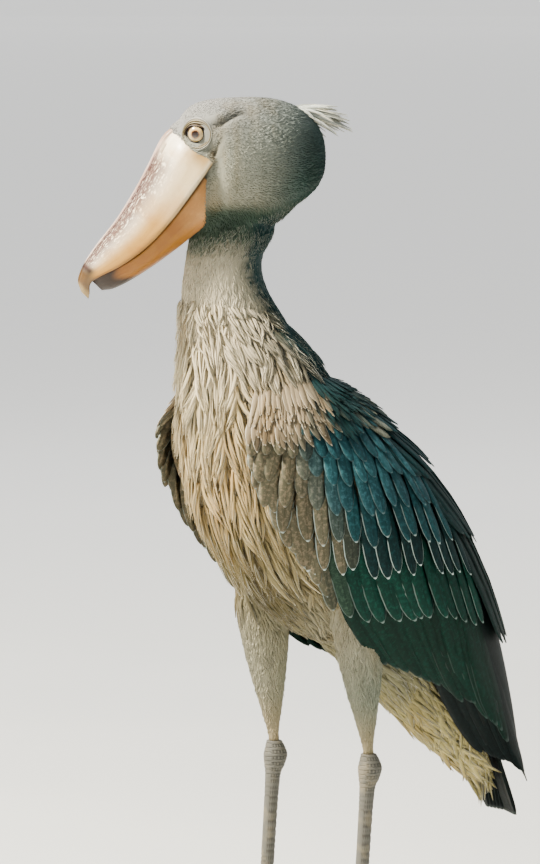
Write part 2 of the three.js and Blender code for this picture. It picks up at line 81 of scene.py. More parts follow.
def aim(thing, place, backward, sideways):
    """Sets a camera or light at a place: its Z axis runs backward, its X axis sideways, its Y axis across both."""
    matrix = np.eye(4)
    matrix[:3, 0] = sideways
    matrix[:3, 1] = np.cross(backward, sideways)
    matrix[:3, 2] = backward
    matrix[:3, 3] = place
    thing.matrix_world = matrix.T.tolist()


lens = bpy.data.cameras.new("view")
lens.sensor_fit = "VERTICAL"
lens.sensor_height = 36
lens.lens = lens.sensor_height / 2 / (VIEW_HEIGHT / 2 / CAMERA_REACH)
lens.clip_end = 100
camera = bpy.data.objects.new("view", lens)
bpy.context.scene.collection.objects.link(camera)
bpy.context.scene.camera = camera
aim(camera, LOOK_AT + CAMERA_REACH * away, away, rightward)

# Name, direction as shares of the camera's right, up and back, distance, size, watts, colour.
LAMPS = [
    ("sun_side", (-0.62, 0.88, 0.30), 3.6, 0.5, 740, (1.0, 0.93, 0.78)),
    ("soft_front", (0.15, 0.25, 0.9), 4.5, 2.6, 16, (0.80, 0.96, 0.92)),
    ("far_rim", (0.75, 0.5, -0.5), 3.4, 1.4, 10, (0.70, 0.95, 0.95)),
    ("backdrop_wash", (0.0, 0.75, -0.35), 4.6, 5.0, 260, (1.0, 1.0, 1.0)),
]
for lamp_name, (to_right, to_up, to_back), distance, size, watts, colour in LAMPS:
    light = bpy.data.lights.new(lamp_name, "AREA")
    light.shape = "DISK"
    light.size = size
    light.energy = watts
    light.color = colour
    lamp = bpy.data.objects.new(lamp_name, light)
    bpy.context.scene.collection.objects.link(lamp)
    backward = to_right * rightward + to_up * upward + to_back * away
    backward = backward / np.linalg.norm(backward)
    sideways = np.cross([0, 0, 1], backward)
    aim(lamp, LOOK_AT + distance * backward, backward, sideways / np.linalg.norm(sideways))

world = bpy.data.worlds.new("studio")
world.use_nodes = True
world.node_tree.nodes["Background"].inputs["Color"].default_value = (0.80, 0.88, 0.92, 1)
world.node_tree.nodes["Background"].inputs["Strength"].default_value = 0.20
bpy.context.scene.world = world


def nodes_of(material_name):
    """A new material with its node tree, its Principled shader, and a maker of further nodes in it."""
    material = bpy.data.materials.new(material_name)
    material.use_nodes = True
    tree = material.node_tree
    return material, tree, tree.nodes["Principled BSDF"]


def add_node(tree, kind, values=(), **settings):
    """A shader node of a kind, with settings on the node and values on its input sockets by name or number."""
    node = tree.nodes.new("ShaderNode" + kind)
    for key, value in settings.items():
        setattr(node, key, value)
    for key, value in dict(values).items():
        if isinstance(value, bpy.types.NodeSocket):
            tree.links.new(value, node.inputs[key])
        else:
            node.inputs[key].default_value = value
    return node


def math(tree, operation, first, second=0.0, third=0.0, clamp=False):
    """The output of a Math node on up to three numbers or sockets."""
    node = add_node(tree, "Math", {0: first, 1: second, 2: third}, operation=operation, use_clamp=clamp)
    return node.outputs[0]


def blend(tree, share, first, second, mode="MIX"):
    """The output of a colour Mix node: share 0 gives the first, share 1 the second."""
    node = add_node(tree, "Mix", data_type="RGBA", blend_type=mode)
    for socket, value in ((node.inputs[0], share), (node.inputs[6], first), (node.inputs[7], second)):
        if isinstance(value, bpy.types.NodeSocket):
            tree.links.new(value, socket)
        else:
            socket.default_value = value
    return node.outputs[2]


def ramp(tree, value, low, high):
    """A smooth step of a value from 0 at low to 1 at high."""
    node = add_node(tree, "MapRange", {0: value, 1: low, 2: high}, interpolation_type="SMOOTHSTEP")
    return node.outputs[0]


def srgb(red, green, blue):
    """A colour as it looks on a screen, 0 to 255, in the linear values that shaders take."""
    share = np.array([red, green, blue]) / 255
    return np.where(share <= 0.04045, share / 12.92, ((share + 0.055) / 1.055) ** 2.4)


def ink(red, green, blue):
    """The same with a fourth number, as a colour socket takes it."""
    return (*srgb(red, green, blue), 1)


# The floor is a wide pale disc that turns up at its far rim, so that it lies behind the bird from every side.
# Beyond the lamps' reach it gives the light itself, which keeps it plain.
GLOW = (0.88, 0.875, 0.86, 1)
GLOW_REACH = (0.6, 6.0)
FLOOR = {"flat": (0.01, 1, 3, 8, 16, 26), "rim": 36, "bend": 6, "sides": 96}
floor_paint, tree, shader = nodes_of("floor_paint")
ground = add_node(tree, "TexCoord").outputs["Object"]
mottle = add_node(tree, "TexNoise", {"Vector": ground, "Scale": 2.0, "Detail": 4.0}).outputs[0]
pale = blend(tree, mottle, (0.60, 0.61, 0.60, 1), (0.68, 0.68, 0.66, 1))
tree.links.new(pale, shader.inputs["Base Color"])
shader.inputs["Roughness"].default_value = 0.9
afar = add_node(tree, "VectorMath", {0: ground}, operation="LENGTH").outputs["Value"]
glow = blend(tree, ramp(tree, afar, *GLOW_REACH), (0, 0, 0, 1), GLOW)
tree.links.new(glow, shader.inputs["Emission Color"])
shader.inputs["Emission Strength"].default_value = 1.0
floor_mesh = bpy.data.meshes.new("floor")
bend = np.linspace(0, np.pi / 2, 12)
reach = np.concatenate([FLOOR["flat"], FLOOR["rim"] + FLOOR["bend"] * np.sin(bend)])[:, None]
climb = np.concatenate([np.zeros(len(FLOOR["flat"])), FLOOR["bend"] * (1 - np.cos(bend))])[:, None]
turn = np.arange(FLOOR["sides"]) * 2 * np.pi / FLOOR["sides"]
bowl = np.stack([reach * np.cos(turn), reach * np.sin(turn), climb + 0 * turn], -1)
ring = np.arange(bowl[..., 0].size).reshape(bowl.shape[:2])
onward = np.roll(ring, -1, 1)
panels = np.stack([ring[:-1], ring[1:], onward[1:], onward[:-1]], -1).reshape(-1, 4)
floor_mesh.from_pydata(bowl.reshape(-1, 3).tolist(), [], panels.tolist() + [ring[0].tolist()])
floor_mesh.materials.append(floor_paint)
floor = bpy.data.objects.new("floor", floor_mesh)
bpy.context.scene.collection.objects.link(floor)


# The bird's skin: head, neck, body and the feathered shanks in one closed surface without a seam. It lies a
# coat's depth under the outline, carries the folds of the face, and has the coat's own markings and painted shade.
TORSO = np.array(
    [
        [-53, 812, -193, 812, 68],
        [-22, 780, -189, 764, 88],
        [8, 735, -186, 716, 103],
        [50, 685, -181, 660, 116],
        [94, 630, -172, 602, 125],
        [134, 572, -149, 542, 126],
        [166, 508, -109, 482, 118],
        [192, 446, -56, 430, 104],
        [209, 394, 8, 394, 86],
        [222, 346, 75, 334, 68],
        [234, 300, 138, 274, 52],
        [244, 252, 196, 226, 36],
        [250, 212, 230, 198, 16],
    ]
) / 1000
NECK = np.array(
    [[-120, 975, 46, 54], [-123, 930, 50, 60], [-136, 890, 51, 54], [-136, 856, 56, 58], [-123, 812, 68, 70]]
) / 1000
SHANK = np.array(
    [
        [0, 500, 30, 40],
        [0, 450, 32, 38],
        [2, 420, 32, 36],
        [4, 390, 29, 32],
        [8, 350, 23, 25],
        [12, 310, 16, 17],
        [15, 278, 10.5, 11],
        [17, 262, 10, 10.5],
    ]
) / 1000
LEGS = {"left": np.array([0.076, 0.012, 0]), "right": np.array([-0.076, -0.037, 0])}
SKULL = {"side": 0.066, "front": 0.098, "back": 0.097, "up": 0.076, "down": 0.088, "power": 2.3}
FOREHEAD = 0.85
NAPE = 0.62
FACE = {"cheek": 0.022, "bill": 0.084, "brow": 0.12, "gape": 0.28, "brow_up": 0.026}
COAT = {"head": 0.0025, "body": 0.006, "shank": 0.003}


def along(rows, t):
    """Every column of the rows at t from 0 to 1. Each span is a cubic through its two rows, whose slopes come
    from the rows on either side. Past the ends it runs straight on."""
    last = len(rows) - 1
    t = np.asarray(t, float)
    inside = np.clip(t, 0, 1)
    at = inside * last
    i = np.minimum(at.astype(int), last - 1)
    f = (at - i)[..., None]
    padded = np.concatenate([2 * rows[:1] - rows[1:2], rows, 2 * rows[-1:] - rows[-2:-1]])
    p0, p1, p2, p3 = (padded[i + k] for k in range(4))
    bend = 2 * p0 - 5 * p1 + 4 * p2 - p3 + f * (3 * (p1 - p2) + p3 - p0)
    return p1 + 0.5 * f * (p2 - p0 + f * bend) + ((t - inside) * last)[..., None] * (p2 - p1)


def smooth(value, low, high):
    """0 below low and 1 above high, with an S-shaped cubic between them."""
    share = np.clip((value - low) / (high - low), 0, 1)
    return share * share * (3 - 2 * share)


def torso_point(t, angle, grow=0.0):
    """The torso at t from neck to vent, at an angle round from the breast: an oval with one axis from the
    breast's row to the back's, and the half width as the other, each made longer by grow at both ends."""
    back_y, back_z, breast_y, breast_z, half = np.moveaxis(along(TORSO, t), -1, 0)
    length = np.hypot(back_y - breast_y, back_z - breast_z)
    reach = (length / 2 + grow) / length * np.cos(angle)
    y = (back_y + breast_y) / 2 - (back_y - breast_y) * reach
    z = (back_z + breast_z) / 2 - (back_z - breast_z) * reach
    return np.stack([(half + grow) * np.sin(angle), y, z], -1)


def limb_point(rows, t, angle, grow=0.0):
    """A level oval at t along a limb: half width and half depth round the rows' middle, made larger by grow."""
    y, z, half, depth = np.moveaxis(along(rows, t), -1, 0)
    return np.stack([(half + grow) * np.sin(angle), y - (depth + grow) * np.cos(angle), z], -1)


def skull_point(way, grow=0.0):
    """The skull in the direction of a unit vector: a superellipsoid whose power rises at the forehead and falls
    at the nape, narrowed towards the bill, and made larger by grow."""
    x, y, z = np.moveaxis(way, -1, 0)
    square = SKULL["power"] + FOREHEAD * smooth(-y, 0, 0.8) * smooth(z, 0, 0.8)
    square = square - NAPE * smooth(y, 0, 0.8) * smooth(-z, 0, 0.8)
    lengthwise = np.abs(y / np.where(y < 0, SKULL["front"], SKULL["back"])) ** square
    upright = np.abs(z / np.where(z > 0, SKULL["up"], SKULL["down"])) ** square
    size = (np.abs(x / SKULL["side"]) ** square + lengthwise + upright) ** (-1 / square)
    narrow = FACE["gape"] + (FACE["brow"] - FACE["gape"]) * smooth(z * size, 0, FACE["brow_up"])
    slim = 1 - narrow * smooth(-y * size, FACE["cheek"], FACE["bill"])
    return np.stack([x * (size * slim + grow), y * (size + grow), z * (size + grow)], -1)


BILL = {"front": 0.0687, "up": -0.0165, "slope": np.radians(45)}
UPPER_BILL = np.array(
    [
        [-24, 57, -4, 50],
        [-1, 57.5, -7, 56],
        [33, 46.5, -12, 58],
        [68, 36, -17, 55],
        [110, 26.5, -19, 48],
        [148, 22, -14, 37],
        [176, 17, -6, 25],
        [190, 12, -5, 16],
        [199, 6, -13, 9],
        [205, -6, -18, 3],
    ]
) / 1000
LOWER_BILL = np.array(
    [
        [0, -6.5, -72, 50],
        [22, -10, -64, 53],
        [48, -14, -56, 52],
        [85, -18, -51.5, 47],
        [120, -19, -46, 39],
        [152, -13, -39, 29],
        [174, -7, -31.5, 19],
        [186, -4, -23, 9],
    ]
) / 1000
UPPER_SECTION = np.array(
    [[0, 1], [0.15, 0.98], [0.22, 0.9], [0.52, 0.82], [0.82, 0.58], [0.97, 0.27], [1, 0], [0.5, 0.02], [0, 0.02]]
)
LOWER_SECTION = np.array([[0, 1], [0.5, 1], [0.96, 1], [0.98, 0.66], [0.84, 0.3], [0.5, 0.05], [0, 0]])


def bill_point(rows, section, t, turn, grow=0.0):
    """The bill at t from root to tip and a turn from the ridge round one side and back up the other. The
    section's two columns are shares of the half width and of the height from mouth line to ridge."""
    reach, top, bottom, half = np.moveaxis(along(rows, t), -1, 0)
    share = np.minimum(turn, 2 * np.pi - turn) / np.pi
    wide, high = np.moveaxis(along(section, share), -1, 0)
    side = np.where(turn > np.pi, -1, 1)
    x = side * np.maximum(wide, 0) * (half + grow)
    return reach, x, bottom + (top - bottom) * high + grow * (2 * high - 1), share


def from_bill(x, reach, height):
    """Points of the bill's frame (across, along, up from its line) in the head's frame."""
    slope = BILL["slope"]
    y = -BILL["front"] - reach * np.cos(slope) - height * np.sin(slope)
    z = BILL["up"] - reach * np.sin(slope) + height * np.cos(slope)
    return np.stack([x, y, z], -1)


# Where the feathers of the face end on the bill: place round its section from ridge (0) by the mouth (0.5) to
# keel (1), and distance along the bill.
FEATHER_LINE = np.array(
    [
        [0.00, -15],
        [0.10, -14],
        [0.19, -13],
        [0.28, -14],
        [0.33, -12],
        [0.38, -13],
        [0.42, -18],
        [0.46, -22],
        [0.50, -12],
        [0.567, 10],
        [0.635, 23],
        [0.72, 35],
        [0.78, 40],
        [1.00, 46],
    ]
)
MUZZLE = {"deep": 0.055, "slim": 0.45, "swell": 0.0022, "dive": 0.005}


def muzzle_point(t, turn):
    """The face round the bill's root: from deep in the head it widens to a little outside the bill, and at the
    feather line it dives under the bill's surface."""
    place = np.minimum(turn, 2 * np.pi - turn) / np.pi
    line = np.interp(place, FEATHER_LINE[:, 0], FEATHER_LINE[:, 1] / 1000)
    reach = -MUZZLE["deep"] + (line + MUZZLE["dive"] + MUZZLE["deep"]) * t
    ridge, mouth, upper_half = (np.interp(reach, UPPER_BILL[:, 0], UPPER_BILL[:, k]) for k in (1, 2, 3))
    mouth_below, keel, lower_half = (np.interp(reach, LOWER_BILL[:, 0], LOWER_BILL[:, k]) for k in (1, 2, 3))
    upper = along(UPPER_SECTION, np.minimum(place * 1.5, 0.75))
    lower = along(LOWER_SECTION, np.clip(1 / 3 + (place - 0.5) * 4 / 3, 0, 1))
    above = (place < 0.5)[..., None]
    wide, high = np.moveaxis(np.where(above, upper, lower), -1, 0)
    height = np.where(place < 0.5, mouth + (ridge - mouth) * high, mouth_below + (keel - mouth_below) * (1 - high))
    half = np.where(place < 0.5, upper_half, lower_half) * wide
    grow = MUZZLE["swell"] * smooth(t, 0.3, 0.75) - (MUZZLE["swell"] + 0.004) * smooth(t, 0.86, 1.0)
    inside = MUZZLE["slim"] + (1 - MUZZLE["slim"]) * smooth(t, -0.2, 0.62)
    side = np.where(turn > np.pi, -1, 1)
    x = side * (half * inside + grow * np.sqrt(np.clip(wide, 0, 1)))
    return in_head(from_bill(x, reach, (height + grow * (1 - 2 * place)) * (0.7 + 0.3 * inside)))


def tube_grid(steps, around):
    """The places of a closed tube's points, t along it and an angle round it, and its faces: rings of quads,
    with one polygon over each end."""
    t, angle = np.meshgrid(np.linspace(0, 1, steps), np.arange(around) * 2 * np.pi / around, indexing="ij")
    ring = np.arange(steps * around).reshape(steps, around)
    next_ring = np.roll(ring, -1, 1)
    quads = np.stack([ring[:-1], ring[1:], next_ring[1:], next_ring[:-1]], -1).reshape(-1, 4)
    return t, angle, [quads, ring[:1], ring[-1:, ::-1]]


def tube(surface, steps, around):
    """A closed tube from a function of t and angle."""
    t, angle, faces = tube_grid(steps, around)
    return surface(t, angle).reshape(-1, 3), faces


def add_piece(name, points, faces, material, replaced=(), vane=None, patch=None, tint=None):
    """A mesh of points and of arrays of polygons, as one piece on the body. A closed shape whose signed volume
    is negative is turned right side out. UVs are given for each point or for each corner."""
    points = np.asarray(points, float).reshape(-1, 3)
    volume = 0
    for polygons in faces:
        for k in range(1, polygons.shape[1] - 1):
            wedge = np.cross(points[polygons[:, k]], points[polygons[:, k + 1]])
            volume += np.sum(points[polygons[:, 0]] * wedge)
    turned = [polygons[:, ::-1] if volume < 0 else polygons for polygons in faces]
    corners = np.concatenate([polygons.ravel() for polygons in turned])
    sides = np.concatenate([np.full(len(polygons), polygons.shape[1]) for polygons in turned])
    mesh = bpy.data.meshes.new(name)
    mesh.vertices.add(len(points))
    mesh.vertices.foreach_set("co", (points + STAND).ravel())
    mesh.loops.add(len(corners))
    mesh.loops.foreach_set("vertex_index", corners)
    mesh.polygons.add(len(sides))
    mesh.polygons.foreach_set("loop_start", np.cumsum(sides) - sides)
    mesh.polygons.foreach_set("use_smooth", np.ones(len(sides), bool))
    mesh.update(calc_edges=True)
    for layer, uv in (("vane", vane), ("OFBake", patch)):
        if uv is not None:
            uv = uv.reshape(-1, 2)
            per_corner = uv[corners] if len(uv) == len(points) else uv
            mesh.uv_layers.new(name=layer).data.foreach_set("uv", per_corner.ravel())
    if tint is not None:
        mesh.color_attributes.new("tint", "FLOAT_COLOR", "POINT").data.foreach_set("color", tint.ravel())
    mesh.validate()
    mesh.materials.append(material)
    piece = bpy.data.objects.new(name, mesh)
    bpy.context.scene.collection.objects.link(piece)
    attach(piece, "root")
    if replaced:
        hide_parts(*replaced)
    return piece


# Markings: a place on the bird with its head turned straight, how far its colour reaches, how strongly, and the
# colour, alike on both sides. Those on nape, jaw, throat, back of the neck, mantle and back are painted shade.
MARKINGS_AND_PAINTED_SHADE = [
    ((0.000, -0.165, 1.080), 0.040, 1, (136, 135, 133)),
    ((0.050, -0.135, 1.075), 0.030, 1, (130, 129, 127)),
    ((0.045, -0.085, 1.085), 0.035, 1, (112, 118, 114)),
    ((0.060, -0.140, 1.020), 0.030, 1, (150, 152, 136)),
    ((0.055, -0.110, 1.000), 0.030, 1, (158, 158, 142)),
    ((0.050, -0.140, 0.970), 0.024, 1, (162, 156, 132)),
    ((0.058, -0.090, 1.040), 0.030, 1, (120, 128, 120)),
    # Nape and back of the jaw: painted shade over the real slate grey; under the jaw, the jaw's painted shadow.
    ((0.040, -0.028, 1.020), 0.036, 2, (20, 52, 52)),
    ((0.035, -0.045, 0.970), 0.030, 2, (22, 56, 48)),
    ((0.020, -0.110, 0.930), 0.024, 1.6, (30, 54, 50)),
    ((0.000, -0.165, 0.935), 0.020, 2, (24, 38, 30)),
    ((0.000, -0.185, 0.880), 0.036, 1, (188, 178, 152)),
    ((0.050, -0.150, 0.880), 0.030, 1, (176, 168, 144)),
    # Back of the neck: painted shade over the real slate grey.
    ((0.050, -0.095, 0.880), 0.028, 2, (34, 58, 56)),
    ((0.050, -0.070, 0.850), 0.030, 1.5, (24, 48, 48)),
    ((0.000, -0.200, 0.800), 0.060, 1, (222, 208, 176)),
    ((0.090, -0.150, 0.780), 0.045, 1, (206, 192, 162)),
    # Mantle: painted shade over the real slate grey.
    ((0.070, -0.050, 0.800), 0.045, 1.8, (14, 36, 40)),
    ((0.000, -0.200, 0.690), 0.060, 1, (226, 208, 166)),
    ((0.100, -0.150, 0.640), 0.050, 1, (190, 162, 112)),
    ((0.000, -0.170, 0.590), 0.050, 1, (188, 158, 104)),
    ((0.100, -0.090, 0.540), 0.050, 1, (168, 150, 106)),
    ((0.000, -0.090, 0.470), 0.050, 1, (104, 92, 52)),
    # Back: painted shade over the real slate grey.
    ((0.000, 0.100, 0.620), 0.100, 1.5, (10, 30, 34)),
    ((0.000, 0.210, 0.420), 0.090, 1, (12, 30, 32)),
    ((0.000, 0.040, 0.400), 0.060, 1, (112, 102, 64)),
    ((0.000, 0.150, 0.270), 0.070, 1, (190, 176, 118)),
    ((0.080, -0.020, 0.400), 0.050, 1, (164, 160, 138)),
    ((0.080, 0.030, 0.350), 0.034, 1, (92, 114, 108)),
    ((0.080, 0.000, 0.270), 0.040, 1, (156, 140, 108)),
]


# Where the dark mantle starts on neck and body: height, and how far back. Its colour is partly the mantle's real slate
# and partly painted shade, and at the top the edge runs up into the painted shade under the jaw.
MANTLE_AND_PAINTED_SHADE_EDGE = np.array(
    [
        [500, 60],
        [600, 0],
        [690, -70],
        [730, -62],
        [760, -62],
        [787, -92],
        [818, -96],
        [837, -108],
        [854, -120],
        [887, -130],
        [910, -127],
        [960, -100],
    ]
) / 1000
MANTLE_AND_PAINTED_SHADE_COLOUR = srgb(12, 46, 46)
# Where the jaw's painted shadow on the upper neck ends below: how far back, and height.
JAW_PAINTED_SHADOW_EDGE = np.array([[-200, 884], [-180, 898], [-155, 910], [-125, 918], [-95, 905]]) / 1000
JAW_PAINTED_SHADOW_COLOUR = srgb(34, 62, 50)


def straightened(points):
    """Points as they'd be with the head turned straight forward: the head's own frame, passing over to the
    body's down the neck."""
    head = on_head(points)[..., None]
    return points + (to_head(points) + HEAD_AT * [0, 1, 1] - points) * head


def marking_and_painted_shade(points):
    """The plumage's colour at each point: the mean of the markings' colours, each weighted by its strength and
    a bell curve of its distance on its own scale. Over it lie the jaw's painted shadow and the dark mantle, partly real
    slate and partly painted shade."""
    at = straightened(points)
    at[..., 0] = np.abs(at[..., 0])
    total = np.zeros(points.shape[:-1] + (3,))
    weights = np.full(points.shape[:-1] + (1,), 1e-12)
    for place, reach, strength, colour in MARKINGS_AND_PAINTED_SHADE:
        far = np.sum((at - place) ** 2, -1, keepdims=True) / reach**2
        weight = strength * np.exp(-far / 2) + 1e-4 / (1 + far)
        total += weight * srgb(*colour)
        weights += weight
    # The dark mantle: partly real slate, partly painted shade on the back and the back of the neck.
    edge = np.interp(points[..., 2], MANTLE_AND_PAINTED_SHADE_EDGE[:, 0], MANTLE_AND_PAINTED_SHADE_EDGE[:, 1])
    ragged = 0.006 * np.sin(points[..., 2] * 400) + 0.004 * np.sin(points[..., 2] * 970 + points[..., 0] * 300)
    behind = smooth(points[..., 1] - edge + ragged, -0.010, 0.012)
    behind = behind * smooth(-points[..., 2], -0.962, -0.942) * smooth(points[..., 2], 0.46, 0.52)
    # The jaw's painted shadow on the upper neck.
    below = np.interp(points[..., 1], JAW_PAINTED_SHADOW_EDGE[:, 0], JAW_PAINTED_SHADOW_EDGE[:, 1])
    shaded = smooth(points[..., 2] - below - ragged, -0.008, 0.014) * smooth(-points[..., 2], -0.966, -0.948)
    colour = total / weights
    colour = colour + (JAW_PAINTED_SHADOW_COLOUR - colour) * 0.85 * shaded[..., None]
    return colour + (MANTLE_AND_PAINTED_SHADE_COLOUR - colour) * behind[..., None]


def with_alpha(colours, alpha):
    """Colours with a fourth number, the strength of a feather's pale edge."""
    alpha = np.broadcast_to(np.asarray(alpha, float)[..., None], colours.shape[:-1] + (1,))
    return np.concatenate([np.clip(colours, 0, 1), alpha], -1)


# The folds of the face, in the head's frame: points of each fold's line with its depth there (a ridge has less
# than none), then its half width, how strongly it tints, and the colour that it takes on. In the creases of brow and
# gape that colour is painted shade, in the gape's crease over its brown skin.
FOLDS = [
    # The brow's crease: its dark grey is painted shade in the crease.
    (
        [
            (0.0506, -0.0600, 0.0400, 0.0005),
            (0.0537, -0.0509, 0.0402, 0.0030),
            (0.0555, -0.0437, 0.0425, 0.0048),
            (0.0550, -0.0373, 0.0479, 0.0052),
            (0.0534, -0.0281, 0.0527, 0.0042),
            (0.0502, -0.0191, 0.0564, 0.0022),
            (0.0480, -0.0059, 0.0570, 0.0),
        ],
        0.0036,
        0.75,
        (0.26, 0.25, 0.24),
    ),
    (
        [
            (0.046, -0.064, 0.0500, -0.0006),
            (0.050, -0.050, 0.0520, -0.0030),
            (0.050, -0.036, 0.0580, -0.0026),
            (0.046, -0.018, 0.0640, 0.0),
        ],
        0.0075,
        0.0,
        (1, 1, 1),
    ),
    (
        # The crease by the gape: its brown is partly the gape's skin and partly painted shade in the crease.
        [
            (0.0548, -0.0521, 0.0303, 0.0008),
            (0.0598, -0.0425, 0.0245, 0.0026),
            (0.0568, -0.0470, 0.0182, 0.0030),
            (0.0538, -0.0497, 0.0095, 0.0036),
            (0.0513, -0.0519, 0.0033, 0.0040),
        ],
        0.0030,
        0.55,
        (0.42, 0.30, 0.16),
    ),
    ([(0.0513, -0.0530, 0.0050, 0.0), (0.0500, -0.0535, -0.0040, 0.0)], 0.0052, 0.8, (0.36, 0.24, 0.11)),
    ([(0.0350, -0.0840, 0.0280, 0.0), (0.0380, -0.0820, 0.0180, 0.0)], 0.0065, 0.6, (0.62, 0.60, 0.40)),
    ([(0.0560, -0.0500, -0.0300, 0.0), (0.0540, -0.0520, -0.0620, 0.0)], 0.0080, 0.35, (1.25, 1.0, 0.72)),
]


def folds(points):
    """Depth and tint of the face's folds at points of the head's frame, both sides alike: each falls off as a
    bell curve of the distance to the fold's line, and its tint multiplies the colour under it. In the creases the tint
    is painted shade."""
    at = np.concatenate([np.abs(points[..., :1]), points[..., 1:]], -1)
    depth = np.zeros(points.shape[:-1])
    shade = np.ones(points.shape)
    for line, half, dark, tone in FOLDS:
        line = np.array(line)
        near = np.full(points.shape[:-1], np.inf)
        deep = np.zeros(points.shape[:-1])
        for start, end in zip(line[:-1], line[1:]):
            span = end - start
            share = np.clip(np.sum((at - start[:3]) * span[:3], -1) / np.sum(span[:3] ** 2), 0, 1)
            far = np.linalg.norm(at - start[:3] - share[..., None] * span[:3], axis=-1)
            deep = np.where(far < near, start[3] + share * span[3], deep)
            near = np.minimum(near, far)
        bell = np.exp(-((near / half) ** 2))
        depth += deep * bell
        shade *= 1 + (np.array(tone) - 1) * (dark * bell)[..., None]
    return depth, shade


def to_head(points):
    """Points of the bird's frame in the head's frame."""
    return (points - HEAD_AT) @ HEAD_AXES


# The middle line of neck and body, which the coat lies along: y and z.
SPINE = np.array(
    [
        [-100, 1020],
        [-112, 985],
        [-123, 930],
        [-136, 880],
        [-130, 835],
        [-112, 785],
        [-89, 725],
        [-65, 672],
        [-39, 616],
        [-7, 557],
        [28, 495],
        [68, 438],
        [108, 394],
        [148, 340],
        [186, 287],
        [220, 239],
        [240, 205],
    ]
) / 1000
spine_points = along(SPINE, np.linspace(0, 1, 160))
spine_ways = np.gradient(spine_points, axis=0)
spine_ways = spine_ways / np.linalg.norm(spine_ways, axis=1, keepdims=True)


def nearest_on_spine(points):
    """The number of the spine's nearest point for each point, seen from the side."""
    far = (points[:, None, 1] - spine_points[None, :, 0]) ** 2 + (points[:, None, 2] - spine_points[None, :, 1]) ** 2
    return np.argmin(far, axis=1)


def on_shank(points):
    """1 on the shanks, 0 on the body: below the belly and within reach of a leg's middle."""
    reach = [np.hypot(points[:, 0] - leg[0], points[:, 1] - leg[1]) for leg in LEGS.values()]
    return (points[:, 2] < 0.455) & (np.minimum(*reach) < 0.052)


def on_head(points):
    """How far a point belongs to the head: 1 by the skull's middle, 0 on the neck."""
    near = to_head(points)
    round_skull = smooth(-np.linalg.norm(near, axis=-1), -0.135, -0.115)
    return smooth(near[..., 2] - 0.35 * near[..., 1], -0.085, -0.045) * round_skull


def lie(points, normals):
    """The way the coat lies at each point: back from the bill on the head, along the spine on neck and body,
    and down on the shanks, laid flat on the skin."""
    back = points - in_head([0, -0.115, -0.01])
    back = back / np.linalg.norm(back, axis=1, keepdims=True)
    way = spine_ways[nearest_on_spine(points)]
    way = np.concatenate([np.zeros((len(points), 1)), way], 1)
    head = on_head(points)[:, None]
    way = head * back + (1 - head) * way
    way[on_shank(points)] = [0, 0.05, -1]
    way -= normals * np.sum(way * normals, 1, keepdims=True)
    return way / (np.linalg.norm(way, axis=1, keepdims=True) + 1e-9)


# The charts of the skin's flat map: corner and size of head and body, and the shanks' columns.
HEAD_CHART = ((0.01, 0.72), (0.6, 0.26))
BODY_CHART = ((0.01, 0.01), (0.6, 0.68))
SHANK_CHART = {"left": 0.65, "apart": 0.17, "low": 0.01, "size": (0.15, 0.6), "from": 0.25, "tall": 0.22}


def unwrap(points, chart):
    """The skin laid flat in four charts: the head by the angles about its middle, the body by its length along
    the spine and the angle round it, and each shank by its height and the angle round it."""
    uv = np.zeros((len(points), 2))
    head = to_head(points)
    ways = head / (np.linalg.norm(head, axis=1, keepdims=True) + 1e-9)
    around_head = np.arctan2(ways[:, 0], -ways[:, 1]) / (2 * np.pi)
    spine = nearest_on_spine(points)
    middle = spine_points[spine]
    forward = np.stack([-spine_ways[spine][:, 1], spine_ways[spine][:, 0]], 1)
    front = np.sum((points[:, 1:] - middle) * forward, 1)
    around_body = np.arctan2(points[:, 0], -front) / (2 * np.pi)
    for number, (angle, height, low, size) in enumerate(
        [
            (around_head, np.arcsin(np.clip(ways[:, 2], -1, 1)) / np.pi + 0.5, *HEAD_CHART),
            (around_body, spine / (len(spine_points) - 1), *BODY_CHART),
        ]
    ):
        here = chart == number
        uv[here, 0] = low[0] + size[0] * (angle[here] % 1.0)
        uv[here, 1] = low[1] + size[1] * height[here]
    for number, leg in enumerate(LEGS.values(), 2):
        here = chart == number
        angle = np.arctan2(points[:, 0] - leg[0], leg[1] - points[:, 1]) / (2 * np.pi)
        low = SHANK_CHART["left"] + SHANK_CHART["apart"] * (number - 2)
        height = np.clip((points[here, 2] - SHANK_CHART["from"]) / SHANK_CHART["tall"], 0, 1)
        uv[here, 0] = low + SHANK_CHART["size"][0] * (angle[here] % 1.0)
        uv[here, 1] = SHANK_CHART["low"] + SHANK_CHART["size"][1] * height
    return uv


def chart_of(points):
    """Which of the four charts a point of the skin is on."""
    chart = np.where(on_head(points) > 0.5, 0, 1)
    shank = on_shank(points)
    chart[shank] = np.where(points[shank, 0] > 0, 2, 3)
    return chart


FUSED = {"voxel": 0.0030, "smoothings": 14}
raw_forms = [
    tube(lambda t, angle: torso_point(t, angle, -COAT["body"]), 90, 96),
    tube(lambda t, angle: limb_point(NECK, t * 1.02, angle, -COAT["body"]), 60, 72),
]
SKULL_STEPS = 72


def skull_ball(t, angle):
    """The skull as rings round its vertical axis, from pole to pole."""
    polar = np.pi * (0.0005 + 0.999 * t)
    way = np.stack([np.sin(polar) * np.sin(angle), -np.sin(polar) * np.cos(angle), np.cos(polar)], -1)
    return in_head(skull_point(way, -COAT["head"]))


